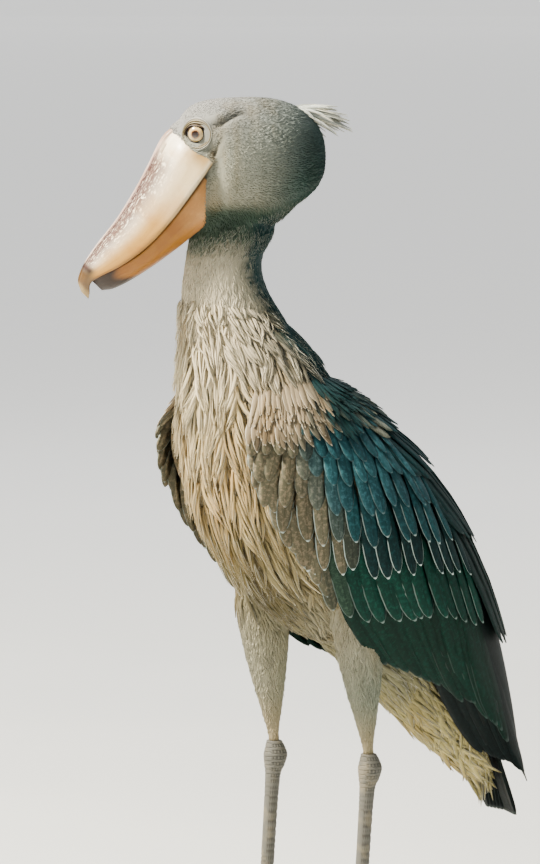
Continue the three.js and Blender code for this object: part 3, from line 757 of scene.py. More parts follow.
raw_forms.append(tube(skull_ball, SKULL_STEPS, 96))
raw_forms.append(tube(muzzle_point, 60, 96))
for leg in LEGS.values():
    raw_forms.append(tube(lambda t, angle: limb_point(SHANK, t, angle, -COAT["shank"]) + leg, 50, 40))
raw_mesh = bpy.data.meshes.new("raw_skin")
raw_points, raw_faces, count = [], [], 0
for points, faces in raw_forms:
    raw_points.append(points)
    raw_faces += [(polygons + count).tolist() for polygons in faces]
    count += len(points)
raw_mesh.from_pydata(np.concatenate(raw_points).tolist(), [], [polygon for rows in raw_faces for polygon in rows])
raw_skin = bpy.data.objects.new("raw_skin", raw_mesh)
bpy.context.scene.collection.objects.link(raw_skin)
remesh = raw_skin.modifiers.new("fuse", "REMESH")
remesh.mode = "VOXEL"
remesh.voxel_size = FUSED["voxel"]
relax = raw_skin.modifiers.new("relax", "SMOOTH")
relax.factor = 0.5
relax.iterations = FUSED["smoothings"]
fused = bpy.data.meshes.new_from_object(raw_skin.evaluated_get(bpy.context.evaluated_depsgraph_get()))
bpy.data.objects.remove(raw_skin)
skin_points = np.zeros(len(fused.vertices) * 3)
fused.vertices.foreach_get("co", skin_points)
skin_points = skin_points.reshape(-1, 3)
skin_normals = np.zeros(len(fused.vertices) * 3)
fused.vertices.foreach_get("normal", skin_normals)
skin_normals = skin_normals.reshape(-1, 3)
skin_quads = np.zeros(len(fused.loops), int)
fused.loops.foreach_get("vertex_index", skin_quads)
skin_quads = skin_quads.reshape(-1, 4)
fold_depth, fold_shade = folds(to_head(skin_points))
skin_points = skin_points - skin_normals * fold_depth[:, None]

face_middle = skin_points[skin_quads].mean(1)
face_chart = chart_of(face_middle)
corner_uv = np.zeros((len(skin_quads), 4, 2))
middle_uv = unwrap(face_middle, face_chart)
for k in range(4):
    corner_uv[:, k] = unwrap(skin_points[skin_quads[:, k]], face_chart)
turn_width = np.where(face_chart > 1, SHANK_CHART["size"][0], BODY_CHART[1][0])
jump = corner_uv[..., 0] - middle_uv[:, None, 0]
corner_uv[..., 0] -= np.round(jump / turn_width[:, None]) * turn_width[:, None]


def node_group(name, inputs, outputs):
    """A shader node group with named sockets: numbers, colours or vectors."""
    group = bpy.data.node_groups.new(name, "ShaderNodeTree")
    for socket, kind in inputs:
        group.interface.new_socket(socket, in_out="INPUT", socket_type="NodeSocket" + kind)
    for socket, kind in outputs:
        group.interface.new_socket(socket, in_out="OUTPUT", socket_type="NodeSocket" + kind)
    return group, group.nodes.new("NodeGroupInput"), group.nodes.new("NodeGroupOutput")


# Stains of mud and water that run over skin and coat alike, and the fine grain of the plumage.
stains, stain_in, stain_out = node_group("stains", [("Colour", "Color")], [("Colour", "Color"), ("Grain", "Float")])
spot = add_node(stains, "TexCoord").outputs["Object"]
streaked = add_node(stains, "Mapping", {"Vector": spot, "Scale": (1.0, 1.0, 0.35)}).outputs[0]
ochre = add_node(stains, "TexNoise", {"Vector": streaked, "Scale": 17.0, "Detail": 5.0, "Roughness": 0.62}).outputs[0]
dusky = add_node(stains, "TexNoise", {"Vector": streaked, "Scale": 43.0, "Detail": 4.0, "Roughness": 0.6}).outputs[0]
grain = add_node(stains, "TexNoise", {"Vector": streaked, "Scale": 420.0, "Detail": 2.0}).outputs[0]
mask = ramp(stains, ochre, 0.50, 0.68)
warmed = blend(stains, math(stains, "MULTIPLY", mask, 0.5), stain_in.outputs[0], (0.78, 0.60, 0.36, 1), "MULTIPLY")
damp = math(stains, "MULTIPLY", ramp(stains, dusky, 0.52, 0.75), 0.35)
shaded = blend(stains, damp, warmed, (0.5, 0.52, 0.5, 1), "MULTIPLY")
stains.links.new(shaded, stain_out.inputs[0])
stains.links.new(grain, stain_out.inputs[1])

# The pattern of a feather: its shaft, its barbs and its pale edge, read from its own length and width.
vanes, vane_in, vane_out = node_group(
    "feather_vane",
    [("Edge Width", "Float"), ("Slenderness", "Float")],
    [("Shaft", "Float"), ("Barbs", "Float"), ("Edge", "Float")],
)
across, lengthwise = add_node(vanes, "SeparateXYZ", {0: add_node(vanes, "UVMap", uv_map="vane").outputs[0]}).outputs[:2]
aside = math(vanes, "ABSOLUTE", math(vanes, "MULTIPLY_ADD", across, 2.0, -1.0))
vanes.links.new(ramp(vanes, aside, 0.12, 0.03), vane_out.inputs[0])
barbs = math(vanes, "MULTIPLY_ADD", lengthwise, 330.0, math(vanes, "MULTIPLY", aside, 40.0))
wave = math(vanes, "SINE", barbs)
vanes.links.new(math(vanes, "MULTIPLY_ADD", wave, 0.5, 0.5), vane_out.inputs[1])
from_tip = math(vanes, "SUBTRACT", 1.0, lengthwise)
near_tip = math(vanes, "SUBTRACT", 1.0, math(vanes, "MULTIPLY", from_tip, vane_in.outputs[1]))
sides = math(vanes, "MULTIPLY", aside, ramp(vanes, lengthwise, 0.25, 0.6))
rim = math(vanes, "MAXIMUM", sides, near_tip)
start = math(vanes, "SUBTRACT", 1.0, vane_in.outputs[0])
full_at = math(vanes, "MULTIPLY_ADD", vane_in.outputs[0], -0.35, 1.0)
vanes.links.new(ramp(vanes, rim, start, full_at), vane_out.inputs[2])


def group_node(tree, group, values=()):
    """A node of a group in a tree, with values on its inputs."""
    node = add_node(tree, "Group")
    node.node_tree = group
    for key, value in dict(values).items():
        if isinstance(value, bpy.types.NodeSocket):
            tree.links.new(value, node.inputs[key])
        else:
            node.inputs[key].default_value = value
    return node


def add_bump(tree, shader, height, strength, distance):
    """A Bump node on the shader's normal."""
    bump = add_node(tree, "Bump", {"Strength": strength, "Distance": distance, "Height": height})
    tree.links.new(bump.outputs[0], shader.inputs["Normal"])


def plumage(name, edge_colour, edge_width, slenderness, roughness, specular, stained, mottled=0.0):
    """A feather's material: the piece's tint, stained, darker along the shaft, lined by the barbs, with an edge
    as strong as the tint's fourth number, and where mottled is given, bright spots painted on as sheen."""
    material, tree, shader = nodes_of(name)
    tint = add_node(tree, "VertexColor", layer_name="tint")
    base = tint.outputs["Color"]
    pattern = group_node(tree, vanes, {"Edge Width": edge_width, "Slenderness": slenderness})
    soiled = group_node(tree, stains, {"Colour": base})
    if stained:
        base = soiled.outputs["Colour"]
    # Bright spots painted on as the feathers' sheen.
    if mottled:
        place = add_node(tree, "TexCoord").outputs["Object"]
        spots = add_node(tree, "TexNoise", {"Vector": place, "Scale": 210.0, "Detail": 4.0, "Roughness": 0.65})
        sheen_spots = ramp(tree, spots.outputs[0], 0.46, 0.66)
        base = blend(tree, math(tree, "MULTIPLY", sheen_spots, mottled), base, (2.6, 2.2, 2.2, 1), "MULTIPLY")
    base = blend(tree, math(tree, "MULTIPLY", pattern.outputs["Shaft"], 0.35), base, (0.35, 0.33, 0.3, 1), "MULTIPLY")
    base = blend(tree, math(tree, "MULTIPLY", pattern.outputs["Barbs"], 0.22), base, (0.55, 0.56, 0.58, 1), "MULTIPLY")
    edge = math(tree, "MULTIPLY", pattern.outputs["Edge"], tint.outputs["Alpha"])
    base = blend(tree, edge, base, (*edge_colour, 1))
    tree.links.new(base, shader.inputs["Base Color"])
    height = math(tree, "ADD", pattern.outputs["Barbs"], math(tree, "MULTIPLY", soiled.outputs["Grain"], 1.2))
    add_bump(tree, shader, height, 0.35, 0.0004)
    shader.inputs["Roughness"].default_value = roughness
    shader.inputs["Specular IOR Level"].default_value = specular
    return material


skin_paint, tree, shader = nodes_of("skin_paint")
tint = add_node(tree, "VertexColor", layer_name="tint")
soiled = group_node(tree, stains, {"Colour": tint.outputs["Color"]})
# The skin, seen between the coat's feathers, is darkened as painted shade under the coat.
under = blend(tree, 0.55, soiled.outputs["Colour"], (0.62, 0.62, 0.6, 1), "MULTIPLY")
tree.links.new(under, shader.inputs["Base Color"])
add_bump(tree, shader, soiled.outputs["Grain"], 0.5, 0.001)
shader.inputs["Roughness"].default_value = 0.85

skin_colour = marking_and_painted_shade(skin_points) * fold_shade
add_piece(
    "skin",
    skin_points,
    [skin_quads],
    skin_paint,
    ["head", "neck", "torso", "shank_left", "shank_right"],
    patch=corner_uv,
    tint=with_alpha(skin_colour, 0),
)


# The coat of the body: short soft feathers sown over the skin, finest on the face and longer down the body.
# Each is a thin blade with a ridge along its shaft, rooted in the skin and lying along the body.
BODY_PLUMAGE = plumage("body_plumage", srgb(236, 230, 214), 0.42, 8.0, 0.80, 0.15, True)
NARROW = ((-1, 0), (0, 1), (1, 0))
BROAD = ((-1, 0), (-0.5, 0.45), (0, 1), (0.5, 0.45), (1, 0))


def lay_blades(lines, outs, half, thick, shares, widths, profile=NARROW, slant=0.0, droop=0.25):
    """Feathers as closed blades. lines and outs are the middle line's points and outward ways, one row for each
    feather. At each station the section is the profile: shares of the half width across and of the thickness
    outward, with the edges drooping by the square of their distance from the shaft."""
    way = np.gradient(lines, np.asarray(shares), axis=1)
    way /= np.linalg.norm(way, axis=2, keepdims=True) + 1e-12
    across = np.cross(outs, way)
    across /= np.linalg.norm(across, axis=2, keepdims=True) + 1e-12
    share, rise = np.array(profile, float).T
    count, stations = lines.shape[:2]
    width = (np.reshape(half, (-1, 1)) * widths)[..., None, None]
    lift = np.reshape(thick, (-1, 1, 1, 1)) * rise[:, None] - droop * width * (share**2)[:, None]
    lift = lift + slant * width * share[:, None]
    points = lines[:, :, None] + width * share[:, None] * across[:, :, None] + lift * outs[:, :, None]
    ring = np.arange(count * stations * len(share)).reshape(count, stations, len(share))
    after = np.roll(ring, -1, 2)
    quads = np.stack([ring[:, :-1], ring[:, 1:], after[:, 1:], after[:, :-1]], -1).reshape(-1, 4)
    vane_u = np.broadcast_to(share / 2 + 0.5, ring.shape)
    vane_v = np.broadcast_to(np.reshape(shares, (-1, 1)), ring.shape)
    ends = [ring[:, 0], ring[:, -1, ::-1]]
    return points, [quads, *ends], np.stack([vane_u, vane_v], -1)


TUFT_PATCH = 0.003
DRAWS = 3.2  # random points for each cell's area


def sow(keep, spacing, seed):
    """Roots spread over the skin where keep says, about a spacing apart: random points on the faces, by area,
    of which each cell of a grid of that spacing keeps one."""
    draw = np.random.default_rng(seed)
    quad = skin_points[skin_quads]
    area = np.linalg.norm(np.cross(quad[:, 2] - quad[:, 0], quad[:, 3] - quad[:, 1]), axis=1) / 2
    weight = area * keep(face_middle)
    picks = draw.choice(len(quad), int(DRAWS * weight.sum() / spacing**2), p=weight / weight.sum())
    u, v = draw.random((2, len(picks), 1))
    corner = skin_points[skin_quads[picks]]
    roots = (corner[:, 0] * (1 - u) + corner[:, 1] * u) * (1 - v) + (corner[:, 3] * (1 - u) + corner[:, 2] * u) * v
    cell = np.floor(roots / spacing).astype(int)
    _, first = np.unique(cell, axis=0, return_index=True)
    normal = skin_normals[skin_quads[picks[first]]].mean(1)
    normal /= np.linalg.norm(normal, axis=1, keepdims=True)
    return roots[first], normal, draw


def spread_tint(colours, strength, points):
    """One colour and edge strength for each feather, given to all its points."""
    return np.broadcast_to(with_alpha(colours, strength)[:, None, None], points.shape[:3] + (4,))


def full(points):
    """No darkening of the coat by what lies over it."""
    return np.ones(len(points))


def coat(
    name, keep, spacing, length, half, rise, bend, seed, edge=0.0, stations=4, ragged=0.25, lighter=0.12,
    thick=0.14, under=full,
):
    """A piece of the coat, where keep says. Each feather's middle line leaves its root along the lie, climbs by
    rise and bends back to the body by bend, with its length, width, way and tint a little different from its
    neighbours'."""
    roots, normals, draw = sow(keep, spacing, seed)
    count = len(roots)
    ways = lie(roots, normals)
    sideways = np.cross(normals, ways)
    ways = ways + sideways * draw.normal(0, ragged, (count, 1))
    ways /= np.linalg.norm(ways, axis=1, keepdims=True)
    reach = length(roots) * draw.uniform(0.75, 1.25, count)
    shares = np.linspace(0, 1, stations)
    q = shares[None, :, None]
    climb = rise(roots) * draw.uniform(0.5, 1.5, count)
    lift = climb[:, None, None] * np.sqrt(q) - bend * (reach[:, None, None] * q) ** 2 - 0.0006 * (1 - q)
    lines = roots[:, None] + ways[:, None] * reach[:, None, None] * q + normals[:, None] * lift
    outs = np.broadcast_to(normals[:, None], lines.shape)
    widths = np.interp(shares, [0, 0.4, 0.8, 1], [0.7, 1, 0.62, 0.08])
    wide = half(roots) * draw.uniform(0.8, 1.2, count)
    points, faces, vane = lay_blades(lines, outs, wide, wide * thick, shares, widths)
    shade = 1 + lighter * draw.normal(0, 1, (count, 1))
    _, fold = folds(to_head(roots))
    # The coat takes the painted shade of the markings and of the face's creases, and where under is given, the painted
    # shade under the plumes.
    colour = marking_and_painted_shade(roots) * shade * fold * under(roots)[:, None]
    patch = unwrap(roots, chart_of(roots))[:, None, None] + TUFT_PATCH * (vane - 0.5)
    tint = spread_tint(colour, edge, points)
    add_piece(name, points, faces, BODY_PLUMAGE, vane=vane, patch=patch, tint=tint)


def jaw_fluff(points):
    """How much further the feathers stand off under the jaw, where head and neck meet."""
    return 0.0013 * np.exp(-(((points[:, 2] - 0.938) / 0.02) ** 2))


def face_share(points):
    """How near a point of the head is to the bill's root, from 0 at the nape to 1 at the face."""
    return smooth(-to_head(points)[:, 1], -0.06, 0.08)


BALD_RING = 0.0185


def head_keep(points):
    """The head without the bald ring round each eye."""
    rings = [np.linalg.norm(points - in_head(EYE_AT * [side, 1, 1]), axis=1) > BALD_RING for side in (1, -1)]
    return (on_head(points) > 0.25) & rings[0] & rings[1]


def under_plumes(points):
    """How dark the coat is where the long plumes hang over it: they leave it in shade on breast and belly."""
    return 1 - 0.5 * smooth(-points[:, 1], 0.02, 0.10) * smooth(-points[:, 2], -0.84, -0.78)


coat(
    "face_feathers",
    lambda p: head_keep(p) & (face_share(p) > 0.35),
    0.0021,
    lambda p: 0.0085 - 0.0040 * face_share(p),
    lambda p: 0.0010 - 0.0002 * face_share(p),
    lambda p: 0.0004 + jaw_fluff(p),
    2.0,
    seed=3,
    stations=3,
    lighter=0.09,
    ragged=0.18,
    thick=0.10,
)
coat(
    "nape_feathers",
    lambda p: head_keep(p) & (face_share(p) <= 0.40),
    0.0023,
    lambda p: np.full(len(p), 0.0085),
    lambda p: np.full(len(p), 0.0011),
    lambda p: 0.0005 + jaw_fluff(p),
    2.0,
    seed=13,
    stations=3,
    lighter=0.10,
    ragged=0.2,
    thick=0.10,
)
coat(
    "neck_feathers",
    lambda p: (on_head(p) <= 0.3) & (p[:, 2] > 0.775),
    0.0029,
    lambda p: 0.013 + 0.014 * smooth(-p[:, 2], -0.90, -0.80),
    lambda p: 0.0014 + 0.0007 * smooth(-p[:, 2], -0.90, -0.80),
    lambda p: 0.0007 + jaw_fluff(p) + 0.0012 * smooth(-p[:, 2], -0.90, -0.80),
    3.0,
    seed=4,
    edge=0.45,
    stations=4,
    lighter=0.14,
    thick=0.09,
)
coat(
    "body_feathers",
    lambda p: (p[:, 2] <= 0.78) & ~on_shank(p) & (p[:, 1] < 0.17),
    0.0066,
    lambda p: 0.030 + 0.012 * smooth(-p[:, 2], -0.60, -0.45),
    lambda p: np.full(len(p), 0.0032),
    lambda p: np.full(len(p), 0.0040),
    3.2,
    seed=5,
    edge=0.35,
    under=under_plumes,
)
coat(
    "shank_feathers",
    on_shank,
    0.0028,
    lambda p: 0.008 + 0.010 * smooth(p[:, 2], 0.27, 0.40),
    lambda p: 0.0011 + 0.0006 * smooth(p[:, 2], 0.27, 0.40),
    lambda p: 0.0005 + 0.0010 * smooth(p[:, 2], 0.27, 0.40),
    4.0,
    seed=6,
    edge=0.3,
)
coat(
    "undertail_feathers",
    lambda p: ~on_shank(p) & (p[:, 1] >= 0.02) & (p[:, 2] < 0.42) & (p[:, 2] > 0.235),
    0.0075,
    lambda p: 0.046 + 0.014 * smooth(p[:, 1], 0.08, 0.2),
    lambda p: np.full(len(p), 0.0046),
    lambda p: np.full(len(p), 0.006),
    2.0,
    seed=7,
    edge=0.45,
    stations=5,
    thick=0.08,
    ragged=0.22,
)


# The eyes: wet balls of about 27 mm, looking out sideways and a little forward, with a brown pupil, a cream
# iris and a dark ring round it. Each is a surface of revolution about the way it looks.
BALL = {"radius": 0.0135, "forward": np.radians(20), "sunk": 0.0015, "pupil": 0.0045, "iris": 0.0091}
eye_paint, tree, shader = nodes_of("eye_paint")
on_ball = add_node(tree, "UVMap", uv_map="vane").outputs[0]
around_eye, from_front = add_node(tree, "SeparateXYZ", {0: on_ball}).outputs[:2]
out_share = math(tree, "SINE", math(tree, "MULTIPLY", from_front, np.pi))
off_axis = math(tree, "MULTIPLY", out_share, BALL["radius"])
rays = add_node(
    tree, "CombineXYZ", {0: math(tree, "MULTIPLY", around_eye, 60.0), 1: math(tree, "MULTIPLY", out_share, 4.0)}
).outputs[0]
fibres = add_node(tree, "TexNoise", {"Vector": rays, "Scale": 1.0, "Detail": 3.0}).outputs[0]
inner = ramp(tree, off_axis, BALL["pupil"], BALL["pupil"] + 0.0022)
cream = blend(tree, inner, ink(140, 90, 44), ink(206, 176, 116))
cream = blend(tree, math(tree, "MULTIPLY", ramp(tree, fibres, 0.45, 0.7), 0.35), cream, ink(150, 112, 70))
seen = blend(tree, ramp(tree, off_axis, BALL["pupil"] - 0.0005, BALL["pupil"] + 0.0003), ink(34, 18, 8), cream)
rim_at = ramp(tree, off_axis, BALL["iris"] - 0.0005, BALL["iris"] + 0.0004)
seen = blend(tree, rim_at, seen, ink(30, 20, 12))
behind = ramp(tree, from_front, 0.5, 0.52)
tree.links.new(blend(tree, behind, seen, ink(30, 20, 12)), shader.inputs["Base Color"])
shader.inputs["Roughness"].default_value = 0.22
shader.inputs["Coat Weight"].default_value = 1.0
shader.inputs["Coat Roughness"].default_value = 0.03


def eye_axes(side):
    """The way an eye looks, the way its slit runs backwards, and the way across both, in the head's frame."""
    gaze = np.array([side * np.cos(BALL["forward"]), -np.sin(BALL["forward"]), 0])
    rearward = np.array([side * np.sin(BALL["forward"]), np.cos(BALL["forward"]), 0])
    return gaze, rearward, np.array([0, 0, 1.0])


def round_eye(side, out, height, turn):
    """A point by its distance out from an eye's axis, its height along the axis and its turn about it."""
    gaze, rearward, up = eye_axes(side)
    middle = EYE_AT * [side, 1, 1] - BALL["sunk"] * gaze
    across = out[..., None] * (np.cos(turn)[..., None] * rearward + np.sin(turn)[..., None] * up)
    return middle + height[..., None] * gaze + across


EYE_RINGS, EYE_SIDES = 56, 72
for side_name, side in (("left", 1), ("right", -1)):

    def ball(t, turn):
        """The ball from the middle of its front to the middle of its back."""
        polar = np.pi * (0.003 + 0.994 * t)
        return in_head(round_eye(side, BALL["radius"] * np.sin(polar), BALL["radius"] * np.cos(polar), turn))

    t, angle, faces = tube_grid(EYE_RINGS, EYE_SIDES)
    off_front = 0.003 + 0.994 * t
    add_piece(
        "eyeball_" + side_name,
        ball(t, angle),
        faces,
        eye_paint,
        ["eye_" + side_name],
        vane=np.stack([np.abs(angle / np.pi - 1), off_front], -1),
        patch=0.5 + 0.48 * off_front[..., None] * np.stack([np.cos(angle), np.sin(angle)], -1),
    )


# The eyelids: bare wrinkled skin round each eye, dark at its wet margin, opened a little wider at the front and
# back corners. It rises from the face to the ball in rings, and its rim goes under the feathers.
LID = {"open": 0.0092, "corner": 0.0046, "tilt": np.radians(-9), "reach": 0.0215, "ball_edge": 0.013, "stand": 0.0012}
LID_ROWS = np.array(
    [  # share of the way out, height over the ball or the face, share of the face's own shape
        [-0.06, -0.0030, 0],
        [0.00, 0.0001, 0],
        [0.03, 0.0010, 0],
        [0.10, 0.0013, 0],
        [0.18, 0.0006, 0.10],
        [0.25, -0.0006, 0.28],
        [0.33, 0.0010, 0.50],
        [0.41, 0.0012, 0.70],
        [0.48, 0.0000, 0.84],
        [0.56, 0.0011, 0.93],
        [0.64, 0.0010, 1],
        [0.71, 0.0001, 1],
        [0.79, 0.0009, 1],
        [0.89, 0.0005, 1],
        [1.00, -0.0030, 1],
        [0.90, -0.0060, 1],
        [0.50, -0.0060, 0.7],
        [0.10, -0.0060, 0.05],
        [-0.06, -0.0050, 0],
    ]
)
# The skin's height along the eye's axis near the left eye, as a cubic in the two directions across it, fitted to
# the skin's own points.
CUBIC_SPAN = 0.02
gaze, rearward, upright = eye_axes(1)
from_eye = to_head(skin_points) - EYE_AT
beyond = from_eye @ gaze
off_eye = np.stack([from_eye @ rearward, from_eye @ upright], -1) / CUBIC_SPAN
facing = (skin_normals @ HEAD_AXES) @ gaze
close = (np.hypot(*off_eye.T) < 1.35) & (beyond > -0.03) & (facing > 0.25)
POWERS = [(i, j) for i in range(4) for j in range(4 - i)]


def cubic_terms(off):
    """The ten products of powers of the two coordinates across the eye that a cubic is made of."""
    return np.stack([off[..., 0] ** i * off[..., 1] ** j for i, j in POWERS], -1)


face_cubic = np.linalg.lstsq(cubic_terms(off_eye[close]), beyond[close], rcond=None)[0]


def mixed(colour, other, share):
    """Colours turned towards another by a share at each point."""
    return colour + (np.asarray(other) - colour) * np.asarray(share)[..., None]


def charted(across, up):
    """A flat map of a whole piece from two shares of its surface, with a margin round it."""
    return 0.02 + 0.96 * np.stack([across, up], -1)


lid_paint, tree, shader = nodes_of("lid_paint")
tint = add_node(tree, "VertexColor", layer_name="tint")
spot = add_node(tree, "TexCoord").outputs["Object"]
pores = add_node(tree, "TexVoronoi", {"Vector": spot, "Scale": 900.0}).outputs[0]
blotch = add_node(tree, "TexNoise", {"Vector": spot, "Scale": 260.0, "Detail": 3.0}).outputs[0]
skin_tone = blend(tree, math(tree, "MULTIPLY", blotch, 0.5), tint.outputs["Color"], (0.6, 0.55, 0.45, 1), "MULTIPLY")
tree.links.new(skin_tone, shader.inputs["Base Color"])
add_bump(tree, shader, pores, 0.5, 0.0004)
shader.inputs["Roughness"].default_value = 0.5
LID_STEPS, LID_SIDES = 90, 96
for side_name, side in (("left", 1), ("right", -1)):

    def lid(turn, t):
        """The lid at a turn about the eye's axis and t round its section: from the ball's own height it passes
        over to the skull's, by the rows' third column."""
        share, height, on_face = np.moveaxis(along(LID_ROWS, t), -1, 0)
        opening = LID["open"] + LID["corner"] * np.cos(turn - LID["tilt"]) ** 2
        out = opening + (LID["reach"] - opening) * share
        over_ball = np.minimum(out, LID["ball_edge"])
        on_ball = np.sqrt(np.maximum((BALL["radius"] + height) ** 2 - over_ball**2, 1e-8)) - (out - over_ball) * 1.2
        off = out[..., None] * np.stack([np.cos(turn), np.sin(turn)], -1) / CUBIC_SPAN
        on_skin = cubic_terms(off) @ face_cubic + LID["stand"] + BALL["sunk"]
        return in_head(round_eye(side, out, on_ball + (on_skin + height - on_ball) * on_face, turn))

    turn, t = np.meshgrid(np.arange(LID_SIDES) * 2 * np.pi / LID_SIDES, np.arange(LID_STEPS) / LID_STEPS, indexing="ij")
    ring = np.arange(LID_SIDES * LID_STEPS).reshape(LID_SIDES, LID_STEPS)
    after = np.roll(ring, -1, 0)
    faces = np.stack([ring, after, np.roll(after, -1, 1), np.roll(ring, -1, 1)], -1).reshape(-1, 4)
    share, height, on_face = np.moveaxis(along(LID_ROWS, t), -1, 0)
    margin = 1 - smooth(share, 0.04, 0.16)
    groove = smooth(-height, -0.0006, 0.0001) * (on_face > 0.02) * (share < 0.95)
    front = smooth(-np.cos(turn), 0.2, 0.9) * smooth(share, 0.2, 0.6)
    points = lid(turn, t)
    colour = srgb(112, 100, 72) + (srgb(96, 84, 48) - srgb(112, 100, 72)) * front[..., None]
    colour = mixed(colour, srgb(62, 42, 20), smooth(-share, -0.34, -0.08))
    colour = mixed(colour, marking_and_painted_shade(points.reshape(-1, 3)).reshape(points.shape), smooth(share, 0.55, 0.9))
    # Painted shade in the grooves of the wrinkles round the eye.
    colour = colour * (1 - 0.45 * groove * (1 + 0.4 * np.sin(5 * turn + 3 * share)))[..., None]
    colour = colour + (srgb(38, 26, 14) - colour) * margin[..., None]
    add_piece(
        "eyelids_" + side_name,
        points,
        [faces],
        lid_paint,
        patch=charted(turn / (2 * np.pi), t),
        tint=with_alpha(colour, 0),
    )


# The bill: a huge horny shell over bone, the upper half ending in a hook. It is ivory, orange along the mouth
# and blotched with mauve beside its ridge, with a slit of a nostril on either side near its root. The mouth line, the
# lower bill's top under the upper and the nostrils' slits carry painted shade.
NOSTRIL = {"side": 0.0135, "front": 0.008, "long": 0.0075, "wide": 0.0016, "deep": 0.005}
bill_paint, tree, shader = nodes_of("bill_paint")
tint = add_node(tree, "VertexColor", layer_name="tint")
spot = add_node(tree, "UVMap", uv_map="vane").outputs[0]
flowing = add_node(tree, "Mapping", {"Vector": spot, "Scale": (1.0, 2.0, 1.0)}).outputs[0]
blotches = add_node(tree, "TexNoise", {"Vector": flowing, "Scale": 150.0, "Detail": 5.0, "Roughness": 0.72}).outputs[0]
flecks = add_node(tree, "TexNoise", {"Vector": flowing, "Scale": 260.0, "Detail": 3.0, "Roughness": 0.6}).outputs[0]
drawn_out = add_node(tree, "Mapping", {"Vector": spot, "Scale": (14.0, 150.0, 1.0)}).outputs[0]
streaks = add_node(tree, "TexNoise", {"Vector": drawn_out, "Scale": 1.0, "Detail": 4.0}).outputs[0]
cloud = add_node(tree, "TexNoise", {"Vector": spot, "Scale": 28.0, "Detail": 3.0}).outputs[0]
clouded = math(tree, "MULTIPLY", ramp(tree, cloud, 0.42, 0.68), 0.55)
streaked = math(tree, "MULTIPLY", ramp(tree, streaks, 0.5, 0.75), 0.3)
horn = blend(tree, clouded, tint.outputs["Color"], ink(226, 202, 160), "MULTIPLY")
horn = blend(tree, streaked, horn, ink(190, 158, 108), "MULTIPLY")
mauve = math(tree, "MULTIPLY", ramp(tree, blotches, 0.39, 0.47), tint.outputs["Alpha"])
horn = blend(tree, math(tree, "MULTIPLY", mauve, 0.95), horn, ink(74, 44, 42))
speckled = math(tree, "MULTIPLY_ADD", tint.outputs["Alpha"], 0.5, 0.25)
dots = math(tree, "MULTIPLY", ramp(tree, flecks, 0.62, 0.72), speckled)
horn = blend(tree, dots, horn, ink(110, 72, 52))
tree.links.new(horn, shader.inputs["Base Color"])
height = math(tree, "ADD", math(tree, "MULTIPLY", streaks, 0.8), math(tree, "MULTIPLY", blotches, 0.6))
add_bump(tree, shader, height, 0.35, 0.0008)
shader.inputs["Roughness"].default_value = 0.40
shader.inputs["Specular IOR Level"].default_value = 0.3
shader.inputs["Coat Weight"].default_value = 0.1
shader.inputs["Coat Roughness"].default_value = 0.2

BILL_STEPS, BILL_SIDES = 180, 144
t, turn, bill_faces = tube_grid(BILL_STEPS, BILL_SIDES)
bill_patch = charted(t, turn / (2 * np.pi))

reach, x, height, share = bill_point(UPPER_BILL, UPPER_SECTION, t, turn)
slit = np.exp(-(((np.abs(x) - NOSTRIL["side"]) / NOSTRIL["wide"]) ** 2)) * (share < 0.45)
slit = slit * smooth(-np.abs(reach - NOSTRIL["front"]), -NOSTRIL["long"], -NOSTRIL["long"] + 0.003)
gutter = np.exp(-(((share - 0.27) / 0.035) ** 2)) * smooth(reach, 0.0, 0.03) * smooth(-reach, -0.185, -0.16)
height = height - NOSTRIL["deep"] * slit - 0.0008 * gutter
colour = np.broadcast_to(srgb(244, 232, 208), x.shape + (3,))
colour = mixed(colour, srgb(226, 206, 192), smooth(-share, -0.30, -0.12) * smooth(reach, -0.01, 0.02))
colour = mixed(colour, srgb(186, 138, 54), smooth(share, 0.38, 0.62) * smooth(reach, -0.01, 0.09) * 0.95)
colour = mixed(colour, srgb(206, 174, 116), smooth(share, 0.40, 0.62) * smooth(-reach, -0.08, 0.0) * 0.75)
colour = mixed(colour, srgb(144, 92, 28), smooth(share, 0.58, 0.72) * smooth(reach, 0.04, 0.14) * 0.6)
colour = mixed(colour, srgb(186, 158, 144), 0.8 * smooth(-share, -0.24, -0.10) * smooth(-reach, -0.17, -0.10))
colour = mixed(colour, srgb(150, 122, 104), 0.8 * smooth(-share, -0.30, -0.16) * smooth(-reach, -0.012, 0.006))
colour = mixed(colour, srgb(160, 124, 66), 0.85 * smooth(share, 0.40, 0.62) * smooth(-reach, -0.004, 0.016))
cream_lip = np.exp(-(((share - 0.71) / 0.02) ** 2)) * smooth(-reach, -0.05, -0.02)
colour = mixed(colour, srgb(246, 226, 186), cream_lip * 0.8)
colour = mixed(colour, srgb(96, 72, 40), smooth(reach, 0.172, 0.188))
band = np.exp(-(((reach - 0.180) / 0.0062) ** 2))
colour = mixed(colour, srgb(22, 16, 12), band * 0.95 * smooth(-share, -0.66, -0.5))
colour = mixed(colour, srgb(186, 160, 108), smooth(reach, 0.196, 0.203) * 0.7)
# Painted shade along the mouth line, where the upper bill closes over the lower.
colour = mixed(colour, srgb(40, 24, 12), smooth(share, 0.732, 0.750) * 0.9)
# Painted shade in the nostril's slit.
colour = mixed(colour, srgb(26, 18, 16), slit)
mottled = smooth(share, 0.05, 0.12) * smooth(-share, -0.60, -0.34)
mottled = mottled * smooth(reach, 0.0, 0.03) * smooth(-reach, -0.19, -0.17)
add_piece(
    "upper_bill",
    in_head(from_bill(x, reach, height)),
    bill_faces,
    bill_paint,
    ["bill_upper"],
    vane=np.stack([reach, share * 0.12], -1),
    patch=bill_patch,
    tint=with_alpha(colour, mottled),
)

